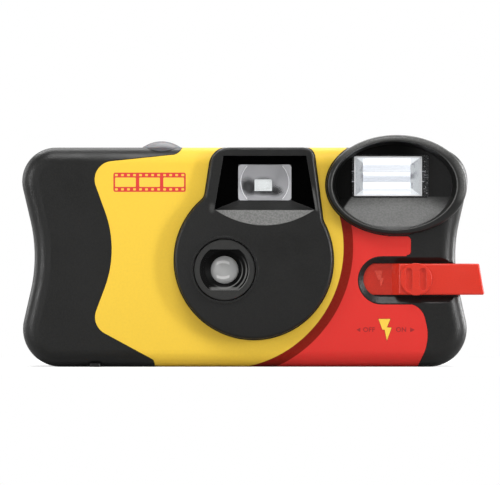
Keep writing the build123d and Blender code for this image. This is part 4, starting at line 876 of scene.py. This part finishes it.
NODE_FINISHES = {
    "lens_retainer": RingPlastic("ring_plastic", srgb(40, 40, 39), roughness=0.36, specular=0.42, grain=0.4,
                                 edge=0.1),
    "taking_lens": LensGlass("lens_plastic", roughness=0.02, haze=0.5, haze_colour=(0.82, 0.82, 0.81),
                             strength=2.0),
    "viewfinder_front_lens": FinderGlass("finder_plastic", roughness=0.05, haze=0.38,
                                         haze_colour=(0.78, 0.78, 0.81)),
    "flash_window": FlashGlass("flash_plastic", roughness=0.02, haze=0.05, haze_colour=(0.95, 0.95, 0.96)),
}


# Shapes

def keep(form: bmesh.types.BMesh, name: str, body: Body, material: bpy.types.Material) -> None:
    """Turns a finished form into a piece that rides on a body.

    Args:
        form: The form, already in its place, in metres.
        name: The piece's name.
        body: The body it rides on.
        material: The piece's material.
    """
    bmesh.ops.recalc_face_normals(form, faces=form.faces)
    mesh = bpy.data.meshes.new(name)
    form.to_mesh(mesh)
    form.free()
    mesh.materials.append(material)
    piece = bpy.data.objects.new(name, mesh)
    bpy.context.scene.collection.objects.link(piece)
    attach(piece, body.value)
    LOG.info("piece %s: %d faces on %s", name, len(mesh.polygons), body.value)


def thicken(form: bmesh.types.BMesh, corners: list[bmesh.types.BMVert], move: Vector) -> None:
    """Fills an outline and draws the face out to a plate.

    Args:
        form: The form that the corners belong to.
        corners: The outline's corners in order.
        move: How far and where the face is drawn, in metres.
    """
    made = bmesh.ops.extrude_face_region(form, geom=[form.faces.new(corners)])
    moved = [item for item in made["geom"] if isinstance(item, bmesh.types.BMVert)]
    bmesh.ops.translate(form, verts=moved, vec=move)


def plates(outlines: Sequence[Sequence[Point]], front: float, thickness: float) -> bmesh.types.BMesh:
    """Makes flat plates that face the front, drawn in X and Z.

    Args:
        outlines: The corners of each plate in millimetres.
        front: The Y of their front faces in millimetres.
        thickness: Their thickness in millimetres.

    Returns:
        The plates as one form.
    """
    form = bmesh.new()
    for outline in outlines:
        corners = [form.verts.new((x * MM, front * MM, z * MM)) for x, z in outline]
        thicken(form, corners, Vector((0, thickness * MM, 0)))
    return form


def rounded(left: float, right: float, low: float, high: float, radius: float, steps: int = 5) -> list[Point]:
    """Returns the corners of a rectangle with rounded corners, drawn in X and Z.

    Args:
        left: Its lowest X in millimetres.
        right: Its highest X.
        low: Its lowest Z.
        high: Its highest Z.
        radius: The radius of its corners.
        steps: How many segments each corner has.

    Returns:
        The outline's points in order.
    """
    middles = ((right - radius, high - radius), (left + radius, high - radius),
               (left + radius, low + radius), (right - radius, low + radius))
    points = []
    for quarter, (x, z) in enumerate(middles):
        for index in range(steps + 1):
            angle = (quarter + index / steps) * math.pi / 2
            points.append((x + radius * math.cos(angle), z + radius * math.sin(angle)))
    return points


def letters(text: str, size: float, depth: float, spacing: float = 1.0) -> bmesh.types.BMesh:
    """Makes plain letters that lie flat round the origin and face up.

    Args:
        text: The generic word or number.
        size: The font's size in millimetres.
        depth: The thickness of the ink in millimetres.
        spacing: The spacing between letters.

    Returns:
        The letters as a form.
    """
    curve = bpy.data.curves.new("letters", "FONT")
    curve.body = text
    curve.size = size * MM
    curve.align_x = "CENTER"
    curve.align_y = "CENTER"
    curve.space_character = spacing
    curve.offset = LETTER_WEIGHT * size * MM
    curve.extrude = depth * MM / 2
    holder = bpy.data.objects.new("letters", curve)
    bpy.context.scene.collection.objects.link(holder)
    bpy.context.view_layer.update()
    mesh = bpy.data.meshes.new_from_object(holder.evaluated_get(bpy.context.evaluated_depsgraph_get()))
    form = bmesh.new()
    form.from_mesh(mesh)
    bpy.data.objects.remove(holder)
    bpy.data.curves.remove(curve)
    bpy.data.meshes.remove(mesh)
    return form


@dataclass
class CarriedNodes:
    """The CAD nodes that stay, each dressed in its own finish."""

    slots: dict[str, str] = field(default_factory=dict)

    def dress(self, nodes: dict[str, bpy.types.Object], record: dict) -> None:
        """Gives every CAD node its material.

        Args:
            nodes: The CAD nodes by name.
            record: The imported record, which names each node's slot.
        """
        self.slots = {part["node"]: part["material_slot"] for part in record["subparts"]}
        made = {slot: finish.make() for slot, finish in FINISHES.items()}
        own = {node: finish.make() for node, finish in NODE_FINISHES.items()}
        for name, node in nodes.items():
            material = own.get(name) or made[self.slots[name]]
            node.data.materials.clear()
            node.data.materials.append(material)
            LOG.info("node %s wears %s", name, material.name)


@dataclass
class SwitchMarks:
    """The printed marks of the flash switch."""

    face: float = LABEL_FACE
    ink: float = 0.02
    labels: tuple[tuple[str, float], ...] = (("OFF", 33.25), ("ON", 41.8))
    height: float = 9.85
    size: float = 1.72
    spacing: float = 1.08
    arrows: tuple[tuple[Point, ...], ...] = (((29.95, 9.85), (30.95, 10.43), (30.95, 9.27)),
                                             ((45.4, 9.85), (44.2, 9.24), (44.2, 10.46)))
    bolt: tuple[Point, ...] = ((35.78, 12.74), (38.91, 12.74), (38.03, 10.5), (39.26, 10.45),
                               (38.0, 7.04), (37.42, 9.86), (36.8, 9.92))
    bolt_edge: float = 0.12
    least_lean: float = 0.35

    def build(self) -> None:
        """Prints the words, the arrows and the lightning bolt."""
        ink = Ink("dark_red_ink", MARK_RED, mottle=0.06).make()
        yellow = Ink("yellow_ink", YELLOW, roughness=0.38).make()
        for text, middle in self.labels:
            keep(self.word(text, middle), f"switch_mark_{text.lower()}", Body.CASING, ink)
        arrows = plates(self.arrows, self.face, self.ink)
        keep(arrows, "switch_mark_arrows", Body.CASING, ink)
        edge = plates([self.outlined()], self.face + self.ink / 2, self.ink / 2)
        keep(edge, "switch_mark_bolt_edge", Body.CASING, ink)
        bolt = plates([self.bolt], self.face, self.ink)
        keep(bolt, "switch_mark_bolt", Body.CASING, yellow)

    def word(self, text: str, middle: float) -> bmesh.types.BMesh:
        """Makes one plain word that faces the front.

        Args:
            text: The generic word.
            middle: The X of its middle in millimetres.

        Returns:
            The word as a form.
        """
        form = letters(text, self.size, self.ink, self.spacing)
        place = Matrix.Translation((middle * MM, (self.face + self.ink / 2) * MM, self.height * MM))
        bmesh.ops.transform(form, matrix=place @ Matrix.Rotation(math.radians(90), 4, "X"), verts=form.verts)
        return form

    def outlined(self) -> list[Point]:
        """Returns the bolt's corners moved outwards by the width of its edge."""
        count = len(self.bolt)
        moved = []
        for index, corner in enumerate(self.bolt):
            before = Vector(self.bolt[index - 1])
            after = Vector(self.bolt[(index + 1) % count])
            into = (Vector(corner) - before).normalized()
            out = (after - Vector(corner)).normalized()
            side = Vector((-into.y - out.y, into.x + out.x)).normalized()
            stretch = self.bolt_edge / max(side.dot(Vector((-into.y, into.x))), self.least_lean)
            moved.append(tuple(Vector(corner) + side * stretch))
        return moved


@dataclass
class LabelMotif:
    """A generic strip of film printed where the label would otherwise be bare."""

    left: float = -34.6
    right: float = -15.4
    low: float = 46.5
    high: float = 51.6
    corner: float = 0.5
    face: float = LABEL_FACE
    ink: float = 0.02
    frames: int = 3
    frame_height: float = 2.5
    rib: float = 0.9
    holes: int = 12
    hole: Point = (0.75, 0.55)
    hole_inset: float = 0.38

    def build(self) -> None:
        """Prints the strip, then its pale pictures and perforations over it."""
        ink = Ink("red_ink", RED).make()
        pale = Ink("pale_ink", YELLOW).make()
        outline = rounded(self.left, self.right, self.low, self.high, self.corner)
        strip = plates([outline], self.face, self.ink / 2)
        keep(strip, "label_motif_strip", Body.CASING, ink)
        windows = plates(self.pictures() + self.perforations(), self.face - self.ink / 2, self.ink / 2)
        keep(windows, "label_motif_windows", Body.CASING, pale)

    def pictures(self) -> list[list[Point]]:
        """Returns the outlines of the pictures."""
        pitch = (self.right - self.left) / self.frames
        low = (self.low + self.high - self.frame_height) / 2
        outlines = []
        for index in range(self.frames):
            start = self.left + index * pitch + self.rib / 2
            outlines.append(rounded(start, start + pitch - self.rib, low, low + self.frame_height,
                                    self.corner / 2))
        return outlines

    def perforations(self) -> list[list[Point]]:
        """Returns the outlines of the perforations, a lower and an upper one at a time."""
        width, height = self.hole
        pitch = (self.right - self.left) / self.holes
        outlines = []
        for index in range(self.holes):
            start = self.left + (index + 0.5) * pitch - width / 2
            for low in (self.low + self.hole_inset, self.high - self.hole_inset - height):
                outlines.append(rounded(start, start + width, low, low + height, height / 4))
        return outlines


@dataclass
class SliderMark:
    """The faint raised bolt on the slider's tongue."""

    front: float = -13.15
    height: float = 0.06
    bolt: tuple[Point, ...] = ((34.77, 25.57), (36.84, 25.57), (36.52, 23.65), (37.26, 23.6),
                               (36.41, 21.21), (36.2, 23.12), (35.72, 23.17))

    def build(self) -> None:
        """Raises the bolt a little from the tongue."""
        red = Ink("slider_mark_red", srgb(222, 74, 56), roughness=0.3, mottle=0.04, depth=0.002).make()
        bolt = plates([self.bolt], self.front, self.height)
        keep(bolt, "slider_mark_bolt", Body.SLIDER, red)


@dataclass
class SlopedFrame:
    """A thin frame that slopes from an outer rounded rectangle to an inner one."""

    outer: Box
    inner: Box
    fronts: Point
    corner: float
    thickness: float

    def form(self) -> bmesh.types.BMesh:
        """Makes the frame from its two outlines."""
        form = bmesh.new()
        edges = []
        for box, front in zip((self.outer, self.inner), self.fronts):
            points = [form.verts.new((x * MM, front * MM, z * MM)) for x, z in rounded(*box, self.corner)]
            edges += [form.edges.new((point, points[index - 1])) for index, point in enumerate(points)]
        made = bmesh.ops.bridge_loops(form, edges=edges)
        bmesh.ops.recalc_face_normals(form, faces=made["faces"])
        bmesh.ops.solidify(form, geom=made["faces"] + edges, thickness=self.thickness * MM)
        return form


@dataclass
class FlashFacets(SlopedFrame):
    """The sloped frame between the flash window and its reflector, a thin sheet that carries the facets'
    painted light, shade and glow.
    """

    outer: Box = (29.55, 47.25, 45.6, 55.8)
    inner: Box = (31.75, 44.4, 46.0, 55.4)
    fronts: Point = (-9.55, -8.75)
    corner: float = 0.12
    thickness: float = 0.06

    def build(self) -> None:
        """Makes the frame and dresses it."""
        keep(self.form(), "flash_facets", Body.CASING, FacetGlow().make())


@dataclass
class FinderMask(SlopedFrame):
    """The dark mask in the finder's tunnel that leaves a small bright rectangle."""

    outer: Box = (2.38, 8.82, 46.58, 51.42)
    inner: Box = (2.85, 7.6, 46.85, 50.05)
    fronts: Point = (11.2, 11.4)
    corner: float = 0.25
    thickness: float = 0.1

    def build(self) -> None:
        """Makes the mask and dresses it."""
        dark = Moulding("mask_plastic", srgb(14, 14, 14), roughness=0.7, specular=0.2).make()
        keep(self.form(), "finder_mask", Body.CASING, dark)


@dataclass
class CounterNumbers:
    """The numbers and dashes on the counter dial, seen through the window in the top."""

    axis: Point = (-10.2, 4.0)
    top: float = 54.3
    radius: float = 4.7
    dash_radius: float = 6.1
    size: float = 1.9
    ink: float = 0.03
    count: int = 10
    step: int = 3
    dash: Point = (0.16, 0.7)

    def build(self) -> None:
        """Prints every third number with dashes between them."""
        black = Ink("counter_ink", srgb(20, 20, 20), roughness=0.5, mottle=0.05).make()
        place = Matrix.Translation((self.axis[0] * MM, self.axis[1] * MM, (self.top + self.ink / 2) * MM))
        keep(self.numbers(place), "counter_numbers", Body.COUNTER, black)
        keep(self.dashes(place), "counter_dashes", Body.COUNTER, black)

    def numbers(self, place: Matrix) -> bmesh.types.BMesh:
        """Makes the numbers in a ring, read from outside the dial.

        Args:
            place: The middle of the dial's face.

        Returns:
            The numbers as a form.
        """
        form = bmesh.new()
        move = Matrix.Translation((0, -self.radius * MM, 0))
        for index in range(self.count):
            mark = letters(str(index * self.step), self.size, self.ink)
            turn = Matrix.Rotation(-index / self.count * math.tau, 4, "Z")
            bmesh.ops.transform(mark, matrix=place @ turn @ move, verts=mark.verts)
            mesh = bpy.data.meshes.new("mark")
            mark.to_mesh(mesh)
            mark.free()
            form.from_mesh(mesh)
            bpy.data.meshes.remove(mesh)
        return form

    def dashes(self, place: Matrix) -> bmesh.types.BMesh:
        """Makes a dash for every picture, in a wider ring.

        Args:
            place: The middle of the dial's face.

        Returns:
            The dashes as a form.
        """
        form = bmesh.new()
        width, length = (value / 2 * MM for value in self.dash)
        middle = Vector((0, -self.dash_radius * MM, 0))
        for index in range(self.count * self.step):
            turn = Matrix.Rotation(index / (self.count * self.step) * math.tau, 4, "Z")
            corners = [form.verts.new(place @ turn @ (middle + Vector((x, y, 0))))
                       for x, y in ((-width, -length), (width, -length), (width, length), (-width, length))]
            thicken(form, corners, Vector((0, 0, self.ink / 2 * MM)))
        return form


@dataclass
class FinderEdges:
    """The ground circle round the finder lens's curve, cut off by its rectangular edge."""

    centre: Point = FINDER_MIDDLE
    radius: float = 6.5
    half_height: float = 4.4
    front: float = -13.6
    thickness: float = 0.05
    line: float = 0.22
    steps: int = 28

    def build(self) -> None:
        """Makes the two pale arcs at the left and the right."""
        pale = Ink("ground_edge", srgb(240, 240, 243), roughness=0.5, mottle=0.05, depth=0.003).make()
        arcs = plates([self.arc(1), self.arc(-1)], self.front, self.thickness)
        keep(arcs, "finder_lens_arcs", Body.CASING, pale)

    def arc(self, side: int) -> list[Point]:
        """Draws one arc, out along its outer edge and back along its inner one.

        Args:
            side: 1 for the right arc and -1 for the left one.

        Returns:
            The outline's points in order.
        """
        reach = math.asin(self.half_height / self.radius)
        outline = []
        for radius, order in ((self.radius, 1), (self.radius - self.line, -1)):
            for index in range(self.steps + 1):
                angle = (index / self.steps * 2 - 1) * reach * order
                outline.append((self.centre[0] + side * radius * math.cos(angle),
                                self.centre[1] + radius * math.sin(angle)))
        return outline


@dataclass
class Studio:
    """The pale floor, the soft lights and the camera."""

    centre_x: float = 1.66
    centre_z: float = 33.05
    distance: float = 2.0
    field_width: float = 132.75
    front: float = LABEL_FACE
    sensor_width: float = 36.0
    nearest: float = 0.01
    floor_reach: float = 0.6
    floor_glow: float = 0.6
    floor_fade: Point = (70.0, 160.0)
    fill: float = 0.45
    lamps: tuple[tuple[str, tuple[float, float, float], Point, float], ...] = (
        ("front_top_softbox", (0.0, -0.34, 0.74), (0.46, 0.3), 3.6),
        ("left_sheen_card", (-0.42, -1.15, 0.12), (0.3, 0.6), 1.0),
        ("left_strip", (-0.72, -0.34, 0.12), (0.12, 0.5), 2.6),
        ("right_strip", (0.72, -0.34, 0.1), (0.1, 0.5), 5.2),
        ("back_softbox", (0.0, 0.45, 0.62), (0.9, 0.4), 4.5),
        ("back_right_panel", (0.62, 0.42, 0.12), (0.25, 0.6), 6.0),
        ("back_left_panel", (-0.62, 0.42, 0.12), (0.25, 0.6), 1.5),
    )

    def build(self) -> None:
        """Sets the camera, the lamps, the world and the floor."""
        scene = bpy.context.scene
        data = bpy.data.cameras.new("camera")
        data.sensor_width = self.sensor_width
        data.lens = data.sensor_width * self.distance / (self.field_width * MM)
        data.clip_start = self.nearest
        camera = bpy.data.objects.new("camera", data)
        scene.collection.objects.link(camera)
        camera.location = (self.centre_x * MM, self.front * MM - self.distance, self.centre_z * MM)
        camera.rotation_euler = (math.radians(90), 0, 0)
        scene.camera = camera
        scene.view_settings.view_transform = "Standard"
        for name, place, size, power in self.lamps:
            self.lamp(name, Vector(place), size, power)
        self.world()
        self.floor()

    def lamp(self, name: str, place: Vector, size: Point, power: float) -> None:
        """Hangs one softbox that faces the camera body.

        Args:
            name: The lamp's name.
            place: Where it hangs, in metres.
            size: Its width and height in metres.
            power: Its power in watts.
        """
        data = bpy.data.lights.new(name, "AREA")
        data.shape = "RECTANGLE"
        data.size, data.size_y = size
        data.energy = power
        lamp = bpy.data.objects.new(name, data)
        bpy.context.scene.collection.objects.link(lamp)
        lamp.location = place
        aim = Vector((0, 0, self.centre_z * MM)) - place
        lamp.rotation_euler = aim.to_track_quat("-Z", "Y").to_euler()

    def world(self) -> None:
        """Gives a white backdrop and an even fill."""
        world = bpy.data.worlds.new("studio")
        bpy.context.scene.world = world
        world.use_nodes = True
        nodes, links = world.node_tree.nodes, world.node_tree.links
        fill = nodes["Background"]
        fill.inputs["Color"].default_value = (*WHITE, 1.0)
        fill.inputs["Strength"].default_value = self.fill
        white = nodes.new("ShaderNodeBackground")
        white.inputs["Color"].default_value = (*WHITE, 1.0)
        white.inputs["Strength"].default_value = 1.0
        ray = nodes.new("ShaderNodeLightPath")
        seen = nodes.new("ShaderNodeMath")
        seen.operation = "MAXIMUM"
        links.new(ray.outputs["Is Camera Ray"], seen.inputs[0])
        links.new(ray.outputs["Is Transmission Ray"], seen.inputs[1])
        mixer = nodes.new("ShaderNodeMixShader")
        links.new(seen.outputs[0], mixer.inputs[0])
        links.new(fill.outputs[0], mixer.inputs[1])
        links.new(white.outputs[0], mixer.inputs[2])
        links.new(mixer.outputs[0], nodes["World Output"].inputs["Surface"])

    def floor(self) -> None:
        """Lays a plain white floor that fades into the white backdrop."""
        form = bmesh.new()
        bmesh.ops.create_grid(form, x_segments=8, y_segments=8, size=self.floor_reach)
        mesh = bpy.data.meshes.new("floor")
        form.to_mesh(mesh)
        form.free()
        floor = bpy.data.objects.new("floor", mesh)
        bpy.context.scene.collection.objects.link(floor)
        recipe = Recipe("floor_paper")
        grey = recipe.mix(recipe.noise(40.0), (0.44, 0.44, 0.44), (0.46, 0.46, 0.46))
        recipe.set(Base_Color=grey, Roughness=0.9, Specular_IOR_Level=0.1)
        seen = recipe.tree.nodes.new("ShaderNodeLightPath").outputs["Is Camera Ray"]
        glow = recipe.add("ShaderNodeEmission", WHITE, recipe.math("MULTIPLY", seen, self.floor_glow))
        lit = recipe.add("ShaderNodeAddShader", recipe.shader.outputs[0], glow)
        away = recipe.step(recipe.length(recipe.across, recipe.deep), *self.floor_fade)
        faded = recipe.add("ShaderNodeMixShader", recipe.math("MULTIPLY", seen, away), lit,
                           recipe.add("ShaderNodeEmission", WHITE, 1.0))
        recipe.join(recipe.output.inputs["Surface"], faded)
        mesh.materials.append(recipe.material)


def main() -> None:
    """Builds the camera's looks in order."""
    logging.basicConfig(level=logging.INFO, format="%(name)s: %(message)s")
    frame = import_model()
    Studio().build()
    CarriedNodes().dress(frame["nodes"], frame["record"])
    SwitchMarks().build()
    LabelMotif().build()
    SliderMark().build()
    FinderEdges().build()
    FinderMask().build()
    FlashFacets().build()
    CounterNumbers().build()


if __name__ == "__main__":
    main()
